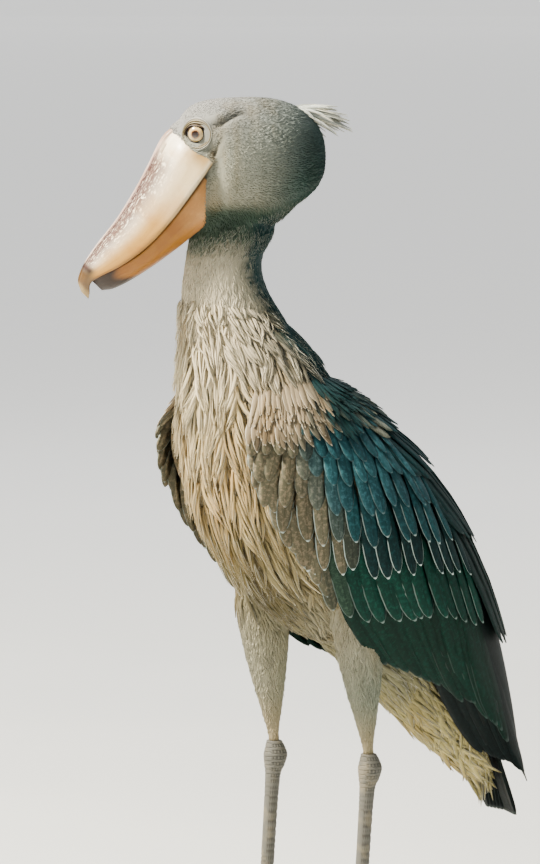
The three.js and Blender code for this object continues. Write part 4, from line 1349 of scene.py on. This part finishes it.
reach, x, height, share = bill_point(LOWER_BILL, LOWER_SECTION, t, turn)
colour = np.broadcast_to(srgb(158, 102, 22), x.shape + (3,))
colour = mixed(colour, srgb(206, 152, 88), smooth(-reach, -0.08, -0.02) * 0.9)
colour = mixed(colour, srgb(188, 122, 80), smooth(share, 0.55, 0.8) * smooth(-reach, -0.08, -0.02) * 0.7)
colour = mixed(colour, srgb(116, 66, 20), smooth(share, 0.5, 0.85) * smooth(reach, 0.06, 0.12) * 0.6)
# The lower bill turns near black over its tip, on its sides and keel.
dark_tip = smooth(reach + 0.010 * np.sin(9 * share), 0.142, 0.160) * smooth(share, 0.30, 0.40)
colour = mixed(colour, srgb(10, 8, 6), dark_tip * 0.96)
# Painted shade on the lower bill's top, under the upper bill.
colour = mixed(colour, srgb(40, 24, 12), smooth(-share, -0.40, -0.35) * 0.9)
add_piece(
    "lower_bill",
    in_head(from_bill(x, reach, height)),
    bill_faces,
    bill_paint,
    ["bill_lower"],
    vane=np.stack([reach + 0.3, share * 0.12], -1),
    patch=bill_patch,
    tint=with_alpha(colour, 0.12),
)


# The breast: pointed plumes that hang down over one another in wet locks, cream along their edges. Each belongs
# to the nearest of some locks, whose plumes bend to a common tip, sway and stand off alike.
PLUMES = {"count": 1700, "first": -0.05, "last": 0.45, "around": 118, "reach": (0.05, 0.10), "half": (0.0019, 0.0036)}
WISPS = {"count": 420, "first": 0.0, "last": 0.46, "around": 105, "reach": (0.05, 0.09), "half": (0.0006, 0.0010)}
PLUME_SHARES = np.array([0, 0.12, 0.3, 0.5, 0.7, 0.86, 1])
PLUME_WIDTHS = np.array([0.6, 0.85, 1, 0.95, 0.7, 0.4, 0.06])
LOCKS = {"count": 190, "pull": 0.62, "sway": 0.075, "lift": 0.005}


def cells(vane, margin=0.06):
    """A UV map that gives each feather a cell of its own in a square grid, root at the bottom, tip at the top."""
    count = len(vane)
    side = int(np.ceil(np.sqrt(count)))
    corner = np.stack([np.arange(count) % side, np.arange(count) // side], -1)[:, None, None]
    return (corner + margin + (1 - 2 * margin) * vane) / side


def hang(rows, seed, stand, bright):
    """Plumes on the torso: middle lines, outward ways, half widths and colours."""
    draw = np.random.default_rng(seed)
    count = rows["count"]
    root_t = rows["first"] + (rows["last"] - rows["first"]) * (np.arange(count) + draw.random(count)) / count
    root_angle = np.radians(rows["around"]) * draw.uniform(-1, 1, count)
    locks = np.random.default_rng(77)
    lock_t = locks.uniform(-0.02, 0.56, LOCKS["count"])
    lock_angle = locks.uniform(-1, 1, LOCKS["count"]) * np.radians(125)
    lock_sway, lock_lift, lock_shade = locks.normal(0, 1, (3, LOCKS["count"]))
    early = 0.42 + 0.58 * smooth(root_t, -0.04, 0.12)
    reach = draw.uniform(*rows["reach"], count) * early
    across = (root_angle[:, None] - lock_angle) * 0.1
    down = (root_t[:, None] + 0.8 * reach[:, None] - lock_t) * 0.7
    own = np.argmin(across**2 + down**2 * 0.5, axis=1)
    q = PLUME_SHARES
    t = root_t[:, None] + reach[:, None] * q
    pull = LOCKS["pull"] * (lock_angle[own] - root_angle)[:, None] * q**2
    sway = LOCKS["sway"] * lock_sway[own][:, None] * (q**2 - 0.4 * q)
    wave = 0.02 * draw.normal(0, 1, (count, 1)) * np.sin(np.pi * q)
    angle = root_angle[:, None] + pull + sway + wave
    off = draw.uniform(*stand, count) + LOCKS["lift"] * smooth(lock_lift[own], -1, 1.6)
    off = (off * (early - 0.42) / 0.58)[:, None]
    grow = off * q**1.2 - 0.005 * (1 - q) ** 2 + 0.0015
    lines = torso_point(t, angle, grow)
    outs = torso_point(t, angle, grow + 0.01) - lines
    outs /= np.linalg.norm(outs, axis=2, keepdims=True)
    shade = bright * (1 + 0.16 * np.clip(lock_shade[own], -2, 1.5)) * draw.uniform(0.8, 1.12, count)
    colour = marking_and_painted_shade(lines[:, 4]) * shade[:, None]
    return lines, outs, draw.uniform(*rows["half"], count) * (0.35 + 0.65 * early), colour, draw


PLUME_PLUMAGE = plumage("plume_plumage", srgb(246, 238, 214), 0.40, 12.0, 0.75, 0.18, True)
for name, rows, seed, stand, bright, edge in (
    ("breast_plumes", PLUMES, 21, (0.001, 0.004), 0.98, (0.35, 1.0)),
    ("breast_wisps", WISPS, 22, (0.004, 0.007), 1.25, (0.8, 1.0)),
):
    lines, outs, half, colour, draw = hang(rows, seed, stand, bright)
    roll = 0.22 * draw.normal(0, 1, (len(lines), 1, 1, 1))
    points, faces, vane = lay_blades(lines, outs, half, half * 0.2, PLUME_SHARES, PLUME_WIDTHS, slant=roll)
    tint = spread_tint(colour, draw.uniform(*edge, len(lines)), points)
    add_piece(name, points, faces, PLUME_PLUMAGE, vane=vane, patch=cells(vane), tint=tint)


# The crest: a loose tuft of narrow pointed feathers that fans out backwards from the nape, rolled this way and
# that about their shafts.
CREST = {"count": 52, "root": (0, 0.056, 0.056), "length": (0.044, 0.076), "half": (0.0026, 0.0052)}
draw = np.random.default_rng(8)
count = CREST["count"]
aside, height, roll = draw.uniform(-1, 1, (3, count, 1))
q = PLUME_SHARES
reach = draw.uniform(*CREST["length"], (count, 1))
x = aside * (0.005 + 0.020 * q - 0.006 * q**2)
y = CREST["root"][1] - 0.008 * np.abs(aside) + reach * q * (1 - 0.25 * aside**2)
z = CREST["root"][2] + 0.002 * height + 0.016 * height * q - (0.012 + 0.016 * aside**2) * q**2
z = z + 0.003 * draw.normal(0, 1, (count, 1)) * q**2
lines = in_head(np.stack([x, y, z], -1))
turned = np.stack([np.sin(1.3 * roll), 0.3 * np.cos(1.3 * roll), np.cos(1.3 * roll)], -1)
outs = np.broadcast_to(turned @ HEAD_AXES.T, lines.shape)
half = draw.uniform(*CREST["half"], count)
points, faces, vane = lay_blades(lines, outs, half, half * 0.2, q, PLUME_WIDTHS)
colour = srgb(196, 200, 192) * draw.uniform(0.5, 1.15, (count, 1))
tint = spread_tint(colour, 0.75, points)
add_piece(
    "crest_feathers", points, faces, PLUME_PLUMAGE, ["crest"], vane=vane, patch=cells(vane), tint=tint
)


# The folded wings: a core shaped like the folded arm, and over it the tiers of stiff flat feathers, each tier
# over the roots of the next like tiles, and each feather over the front edge of the one behind it.
WING = np.array(
    [
        [22, 726, -148, 708, 114, 97],
        [55, 706, -166, 662, 132, 114],
        [91, 678, -149, 598, 148, 123],
        [128, 642, -99, 522, 157, 127],
        [176, 580, -39, 448, 153, 121],
        [218, 505, 33, 390, 136, 102],
        [246, 435, 102, 338, 113, 81],
        [270, 360, 168, 288, 86, 61],
        [288, 288, 230, 232, 60, 45],
        [299, 216, 290, 204, 34, 32],
    ]
) / 1000
WIDEST = {"depth": 0.62, "round": 0.7}
WING_APART = 0.002
WING_THICK = {"body": 0.025, "tip": 0.005}
CORE = {"under": 0.009, "length": 0.94, "edge": 0.98, "edge_at_end": 0.64}


def wing_face(s, t):
    """The left wing's outer face at s from shoulder to tip and t from the back to the lower edge: a quarter of
    an oval out to where it is widest, then inwards again by a power of the rest."""
    upper_y, upper_z, lower_y, lower_z, half, lower_x = np.moveaxis(along(WING, s), -1, 0)
    turn = np.clip(t, 0, WIDEST["round"]) / WIDEST["round"] * np.pi / 2
    past = np.maximum(0, t - WIDEST["round"]) / (1 - WIDEST["round"])
    upper = t < WIDEST["round"]
    down = np.where(upper, WIDEST["depth"] * (1 - np.cos(turn)), WIDEST["depth"] + (1 - WIDEST["depth"]) * past)
    x = np.where(upper, half * np.sin(turn), half + (lower_x - half) * past**1.6)
    return np.stack([WING_APART + x, upper_y + (lower_y - upper_y) * down, upper_z + (lower_z - upper_z) * down], -1)


def wing_frame(s, t):
    """A point of the wing's face and the way out of it, from small steps to either side."""
    step = 0.004
    to_tip = wing_face(s + step, t) - wing_face(s - step, t)
    to_edge = wing_face(s, t + step) - wing_face(s, t - step)
    out = np.cross(to_edge, to_tip)
    out /= np.linalg.norm(out, axis=-1, keepdims=True)
    out *= np.where(np.sum(out * [1, 0.4, 0], -1, keepdims=True) < 0, -1, 1)
    return wing_face(s, t), out


def wing_core(t, angle):
    """The core: at each length a flat rounded section from near the back to the lower edge, under the face."""
    s = 0.012 + (CORE["length"] - 0.012) * t
    low = CORE["edge"] + (CORE["edge_at_end"] - CORE["edge"]) * smooth(s, 0.35, CORE["length"])
    at, out = wing_frame(s, 0.03 + (low - 0.04) * (0.5 - 0.5 * np.cos(angle)))
    under = CORE["under"] * smooth(s, 0.02, 0.12)
    full = WING_THICK["body"] + (WING_THICK["tip"] - WING_THICK["body"]) * smooth(s, 0.45, 0.8) - under
    thick = np.maximum(full, 0.002) * np.sqrt(np.sin(np.pi * np.clip(0.04 + 0.93 * t, 0, 1)))
    side = np.sin(angle)
    inward = thick / 2 * (1 - np.sign(side) * np.sqrt(np.abs(side))) + under
    return at - out * inward[..., None]


# Each tier: name, feathers, half width, places of the roots of its front and back feather, places of their
# tips, height over the face at root and tip, strength of the pale edge, and the tier's colour: the wing's real dark
# slate, darkened further as painted shade. Places are s and t on the wing's face, and widths and heights are in
# millimetres.
WING_TIERS = [
    ("primaries", 8, 12.5, (0.6, 0.84), (0.6, 0.5), (0.86, 1), (1.01, 0.58), -10, -5, 0.01, (4, 14, 14)),
    ("secondaries", 15, 14.5, (0.36, 0.92), (0.52, 0.44), (0.575, 1.02), (0.87, 0.7), -10, -3.5, 0.05, (3, 30, 23)),
    ("greater_coverts", 12, 12.8, (0.3, 0.85), (0.45, 0.38), (0.455, 0.97), (0.615, 0.53), -8, -1, 0.28, (4, 42, 34)),
    ("median_coverts", 13, 10.8, (0.24, 0.86), (0.39, 0.34), (0.35, 1), (0.515, 0.46), -6, 0.5, 1, (8, 34, 35)),
    ("lesser_coverts_5", 12, 11.8, (0.17, 0.84), (0.32, 0.33), (0.285, 1), (0.45, 0.45), -6, 1, 0.6, (22, 56, 60)),
    ("lesser_coverts_4", 12, 11.8, (0.12, 0.86), (0.25, 0.34), (0.225, 1), (0.375, 0.44), -6, 1.5, 0.12, (32, 66, 72)),
    ("lesser_coverts_3", 12, 11.8, (0.07, 0.88), (0.18, 0.34), (0.17, 1), (0.3, 0.42), -6, 1.5, 0.1, (34, 70, 76)),
    ("lesser_coverts_2", 12, 11.2, (0.02, 0.9), (0.11, 0.34), (0.12, 1), (0.235, 0.41), -6, 1.5, 0.1, (28, 62, 68)),
    ("lesser_coverts_1", 12, 10.8, (-0.01, 0.9), (0.04, 0.34), (0.075, 0.98), (0.16, 0.39), -6, 1, 0.1, (24, 54, 58)),
    ("marginal_coverts", 17, 9.5, (0, 0.93), (0.33, 0.92), (0.085, 1), (0.42, 1), -5, 0, 0.35, (30, 44, 38)),
    ("tertials", 5, 19, (0.36, 0.36), (0.36, 0.08), (0.68, 0.42), (0.73, 0.16), -8, 0.5, 0.01, (4, 24, 22)),
    ("scapulars_3", 7, 16.5, (0.26, 0.4), (0.26, 0.05), (0.47, 0.36), (0.53, 0.1), -8, 1.5, 0.01, (5, 30, 30)),
    ("scapulars_2", 7, 16.5, (0.14, 0.4), (0.14, 0.05), (0.33, 0.38), (0.37, 0.09), -8, 2, 0.01, (6, 36, 37)),
    ("scapulars_1", 7, 16.5, (0.03, 0.38), (0.03, 0.05), (0.2, 0.38), (0.23, 0.08), -8, 2, 0.01, (8, 40, 42)),
]
MANTLE_TIERS = [
    ("mantle_4", 50, 6.6, (-0.02, 1), (0, 0.03), (0.11, 1), (0.16, 0.03), -3, 3),
    ("mantle_3", 60, 5.6, (-0.06, 1), (-0.04, 0.03), (0.08, 1), (0.11, 0.03), -4, 3.5),
    ("mantle_2", 70, 4.6, (-0.09, 1), (-0.08, 0.03), (0.05, 1), (0.06, 0.03), -5, 4),
    ("mantle_1", 76, 4, (-0.12, 1), (-0.12, 0.03), (0.02, 1), (0.01, 0.03), -6, 4.5),
]
VANE_SHARES = np.array([0, 0.2, 0.45, 0.65, 0.8, 0.9, 0.96, 1])
VANE_WIDTHS = np.array([0.55, 0.82, 1, 1, 0.9, 0.68, 0.42, 0.12])
MANTLE_WIDTHS = np.array([0.55, 0.85, 1, 0.94, 0.74, 0.5, 0.28, 0.06])
CARPAL_COLOUR = srgb(92, 88, 70)
# Some pale ragged feathers on the shoulder: their middle, how far they reach, and their share of all there.
FRAYED = {"at": (0.026, 0.689), "reach": 0.018, "share": 0.6}
VANE_THICK = 0.0009
MANTLE_PLUMAGE = plumage("mantle_plumage", srgb(246, 238, 214), 0.22, 5.0, 0.7, 0.16, True)
# The wing's plumage carries the painted sheen spots.
WING_PLUMAGE = plumage("wing_plumage", srgb(196, 216, 212), 0.15, 5.0, 0.6, 0.10, False, 0.8)


def wing_tint(colour, s, t, draw):
    """A wing feather's colour: its tier's, turned tan-grey towards the wrist, where the front lower coverts are."""
    wrist = smooth(t - 0.35 * np.maximum(s - 0.15, 0), 0.72, 0.86) * smooth(-s, -0.46, -0.36)
    base = srgb(*colour) * draw.uniform(0.8, 1.25, (len(s), 1))
    return base + (CARPAL_COLOUR * draw.uniform(0.75, 1.2, (len(s), 1)) - base) * wrist[:, None]


CORE_STEPS, CORE_SIDES = 48, 40
core_shares = np.meshgrid(np.linspace(0, 1, CORE_STEPS), np.linspace(0, 1, CORE_SIDES), indexing="ij")
for side_name, side in (("left", 1), ("right", -1)):
    draw = np.random.default_rng(31)
    core_points, core_faces = tube(wing_core, CORE_STEPS, CORE_SIDES)
    wrist = smooth(core_points[:, 2], 0.52, 0.56) * smooth(-core_points[:, 1], -0.02, 0.06)
    core_tint = with_alpha(mixed(np.broadcast_to(srgb(8, 18, 18), (len(core_points), 3)), srgb(84, 76, 58), wrist), 0)
    add_piece(
        "wing_core_" + side_name,
        core_points * [side, 1, 1],
        core_faces,
        WING_PLUMAGE,
        ["wing_" + side_name],
        vane=np.full((len(core_points), 2), 0.3),
        patch=charted(*core_shares),
        tint=core_tint,
    )
    for tier, count, half, root_front, root_back, tip_front, tip_back, low, high, *look in WING_TIERS + MANTLE_TIERS:
        half, low, high = half / 1000, low / 1000, high / 1000
        mantle = not look
        # Mantle tiers: pale edges and a colour of real dark slate, darkened further as painted shade.
        edge, colour = look or (0.8, (8, 42, 44))
        back = (np.arange(count) / (count - 1))[:, None]
        root = np.array(root_front) + (np.array(root_back) - root_front) * back
        tip = np.array(tip_front) + (np.array(tip_back) - tip_front) * back
        tip = tip + draw.normal(0, 0.016 if mantle else 0.007, (count, 2))
        st = root[:, None] + (tip - root)[:, None] * VANE_SHARES[:, None]
        at, out = wing_frame(st[..., 0], st[..., 1])
        lift = low + (high - low) * VANE_SHARES + 0.0006 * draw.normal(0, 1, (count, 1))
        lines = (at + out * lift[..., None]) * [side, 1, 1]
        outs = out * [side, 1, 1]
        halves = half * draw.uniform(0.9, 1.08, count)
        points, faces, vane = lay_blades(
            lines, outs, halves, np.full(count, VANE_THICK), VANE_SHARES, MANTLE_WIDTHS if mantle else VANE_WIDTHS,
            BROAD, slant=(-0.08 if mantle else -0.16) * side, droop=0.12,
        )
        strength = np.full(count, edge) * draw.uniform(0.7, 1.1, count)
        colours = wing_tint(colour, st[:, 5, 0], st[:, 5, 1], draw)
        if mantle:
            front = smooth(st[:, 5, 1] + draw.normal(0, 0.06, count), 0.56, 0.74)
            bright = 1.15 - 0.14 * float(tier[-1])
            colours = mixed(colours, bright * srgb(146, 130, 104) * draw.uniform(0.6, 1.35, (count, 1)), front)
            strength = strength * (0.02 + 0.68 * front)
        if mantle or tier.startswith("scapulars"):
            frayed = np.exp(-np.sum((at[:, 5, 1:] - FRAYED["at"]) ** 2, -1) / FRAYED["reach"] ** 2)
            frayed = frayed * (draw.random(count) < FRAYED["share"])
            colours = mixed(colours, srgb(150, 150, 128), 0.8 * frayed)
        material, slot = (MANTLE_PLUMAGE, "body_feathers") if mantle else (WING_PLUMAGE, "wing_feathers")
        tint = spread_tint(colours, strength, points)
        add_piece(tier + "_" + side_name, points, faces, material, vane=vane, patch=cells(vane), tint=tint)


# The tail: twelve straight feathers that fan out a little under the wing tips, the middle ones on top.
TAIL = {"root": (0.222, 0.362), "tip": (0.283, 0.160), "count": 12, "half": 0.0115, "spread": 0.0062, "stack": 0.0016}
TAIL_WIDTHS = np.array([0.5, 0.75, 0.95, 1, 0.98, 0.9, 0.72, 0.3])
aside = np.arange(TAIL["count"]) - (TAIL["count"] - 1) / 2
q = VANE_SHARES
slope = np.array(TAIL["tip"]) - TAIL["root"]
back = np.array([0, -slope[1], slope[0]]) / np.hypot(*slope)
x = aside[:, None] * (0.0016 + (TAIL["spread"] - 0.0016) * q)
y = TAIL["root"][0] + slope[0] * q + 0 * x
z = TAIL["root"][1] + slope[1] * q + 0.0006 * np.abs(aside)[:, None] * q
under = -TAIL["stack"] * (np.abs(aside) + 0.5 * (aside > 0))
lines = np.stack([x, y, z], -1) + under[:, None, None] * back
outs = np.broadcast_to(back, lines.shape)
points, faces, vane = lay_blades(
    lines, outs, np.full(len(aside), TAIL["half"]), np.full(len(aside), 0.001), q, TAIL_WIDTHS, BROAD, droop=0.05
)
tint = np.broadcast_to(np.append(srgb(12, 20, 20), 0.08), points.shape[:3] + (4,))
add_piece(
    "tail_feathers", points, faces, WING_PLUMAGE, ["tail"], vane=vane, patch=cells(vane), tint=tint
)


# The bare lower legs: bone and tendon under horny scutes, wide ones in a row down the front and small ones like
# bricks round the rest, with a thick joint at either end.
TARSUS = np.array(
    [
        [16.5, 266, 9, 9.5],
        [18, 257, 11.5, 13],
        [18.5, 247, 13.5, 15.5],
        [17, 234, 12, 13],
        [14, 215, 9, 9.5],
        [8, 130, 8, 8.5],
        [2, 50, 8.5, 9],
        [0, 30, 12, 12],
        [-1, 12, 14, 14],
        [-1, 4, 10, 10],
    ]
) / 1000
SCUTE = {"tall": 0.0056, "small": 0.0038, "around": 20, "front": np.radians(46), "high": 0.0007}
LEG_COLOUR, SCUTE_EDGE = srgb(98, 96, 88), srgb(66, 63, 57)
leg_paint, tree, shader = nodes_of("leg_paint")
tint = add_node(tree, "VertexColor", layer_name="tint")
spot = add_node(tree, "TexCoord").outputs["Object"]
mud = add_node(tree, "TexNoise", {"Vector": spot, "Scale": 36.0, "Detail": 5.0, "Roughness": 0.6}).outputs[0]
fine = add_node(tree, "TexVoronoi", {"Vector": spot, "Scale": 700.0}).outputs[0]
muddy = math(tree, "MULTIPLY", ramp(tree, mud, 0.48, 0.66), 0.45)
dusty = blend(tree, muddy, tint.outputs["Color"], ink(142, 130, 104))
tree.links.new(dusty, shader.inputs["Base Color"])
add_bump(tree, shader, fine, 0.4, 0.0004)
shader.inputs["Roughness"].default_value = 0.55
shader.inputs["Specular IOR Level"].default_value = 0.35


def scutes(run, angle):
    """The height share of the leg's scales: 1 on a scale, 0 in the groove between two. Across the front one scale
    fills each row; round the rest they're laid like bricks."""
    front = np.abs((angle + np.pi) % (2 * np.pi) - np.pi) < SCUTE["front"]
    tall = np.where(front, SCUTE["tall"], SCUTE["small"])
    row = run / tall
    brick = angle * SCUTE["around"] / (2 * np.pi) + 0.5 * (np.floor(row) % 2)
    between_rows = np.abs(np.sin(np.pi * row))
    between = np.where(front, 1.0, np.abs(np.sin(np.pi * brick)))
    return np.minimum(smooth(between_rows, 0.0, 0.45), smooth(between, 0.0, 0.45))


def leg_tint(share):
    """Scales in the leg's own colour with darker grooves."""
    return with_alpha(mixed(np.broadcast_to(SCUTE_EDGE, share.shape + (3,)), LEG_COLOUR, share), 0)


LEG_STEPS, LEG_SIDES = 300, 60
t, angle, tarsus_faces = tube_grid(LEG_STEPS, LEG_SIDES)
run = along(TARSUS, t)[..., 1]
share = scutes(run, angle)
for side_name, leg in LEGS.items():
    add_piece(
        "tarsus_scutes_" + side_name,
        limb_point(TARSUS, t, angle, SCUTE["high"] * (share - 0.6)) + leg,
        tarsus_faces,
        leg_paint,
        ["tarsus_" + side_name],
        patch=charted(angle / (2 * np.pi), t),
        tint=leg_tint(share),
    )


# The feet: four long toes with a scute across each step of their upper side, soft pads under the joints, and a
# slightly curved horny claw at each end. They press flat on the ground.
TOES = [  # name, angle outwards from straight ahead, length, radius at the root and at the tip
    ("middle", 2, 0.152, 0.0088, 0.0052),
    ("inner", -27, 0.116, 0.0082, 0.0050),
    ("outer", 33, 0.122, 0.0082, 0.0050),
    ("hind", 172, 0.072, 0.0076, 0.0050),
]
TOE_SCUTE = {"ridge": 0.0042, "knob": 0.0026, "high": 0.0006}
PRESSED = 0.82  # height of a toe's middle over the ground, as a share of its radius
CLAW = {"length": 0.021, "radius": 0.0042, "rise": 0.003, "inside": 0.005}
claw_paint, tree, shader = nodes_of("claw_paint")
spot = add_node(tree, "TexCoord").outputs["Object"]
streak = add_node(tree, "TexNoise", {"Vector": spot, "Scale": 300.0, "Detail": 4.0}).outputs[0]
horn = blend(tree, ramp(tree, streak, 0.40, 0.70), ink(36, 32, 28), ink(84, 74, 60))
tree.links.new(horn, shader.inputs["Base Color"])
add_bump(tree, shader, streak, 0.3, 0.0003)
shader.inputs["Roughness"].default_value = 0.35
TOE_STEPS, TOE_SIDES = 120, 36
t, angle, toe_faces = tube_grid(TOE_STEPS, TOE_SIDES)
toe_patch = charted(angle / (2 * np.pi), t)
for side_name, leg in LEGS.items():
    side = 1 if side_name == "left" else -1
    for toe_name, outward, length, root, tip in TOES:
        turn = np.radians(side * outward)
        spin = np.array([[np.cos(turn), -np.sin(turn), 0], [np.sin(turn), np.cos(turn), 0], [0, 0, 1]])
        middle = (root + (tip - root) * t) * (1 + 0.06 * np.cos(6 * np.pi * t))
        rounded = np.sqrt(np.clip(1 - (np.maximum(t - 0.93, 0) / 0.073) ** 2, 0.02, 1))
        upper = smooth(np.cos(angle), -0.5, 0.1)
        ridges = smooth(np.abs(np.sin(np.pi * length * t / TOE_SCUTE["ridge"])), 0, 0.4)
        knobs = smooth(np.abs(np.sin(np.pi * length * t / TOE_SCUTE["knob"])) * np.abs(np.sin(6 * angle)), 0, 0.5)
        share = upper * ridges + (1 - upper) * knobs
        radius = (middle + TOE_SCUTE["high"] * (share - 0.7)) * rounded
        z = np.maximum(PRESSED * middle + radius * np.cos(angle), 0.0)
        toe = np.stack([radius * np.sin(angle), -length * t, z], -1)
        add_piece(
            "toe_scutes_" + toe_name + "_" + side_name,
            toe @ spin.T + leg,
            toe_faces,
            leg_paint,
            ["toe_" + toe_name + "_" + side_name],
            patch=toe_patch,
            tint=leg_tint(share),
        )
        radius = CLAW["radius"] * (1.03 - t) ** 0.8
        y = -length + CLAW["inside"] - (CLAW["length"] + CLAW["inside"]) * t
        z = PRESSED * tip + CLAW["rise"] * np.sin(0.7 * np.pi * t) - 0.0015 * t + radius * np.cos(angle)
        claw = np.stack([radius * np.sin(angle) * (1 - 0.3 * (np.cos(angle) < 0)), y, np.maximum(z, 0.0)], -1)
        add_piece(
            "claw_horn_" + toe_name + "_" + side_name,
            claw @ spin.T + leg,
            toe_faces,
            claw_paint,
            ["claw_" + toe_name + "_" + side_name],
            patch=toe_patch,
        )
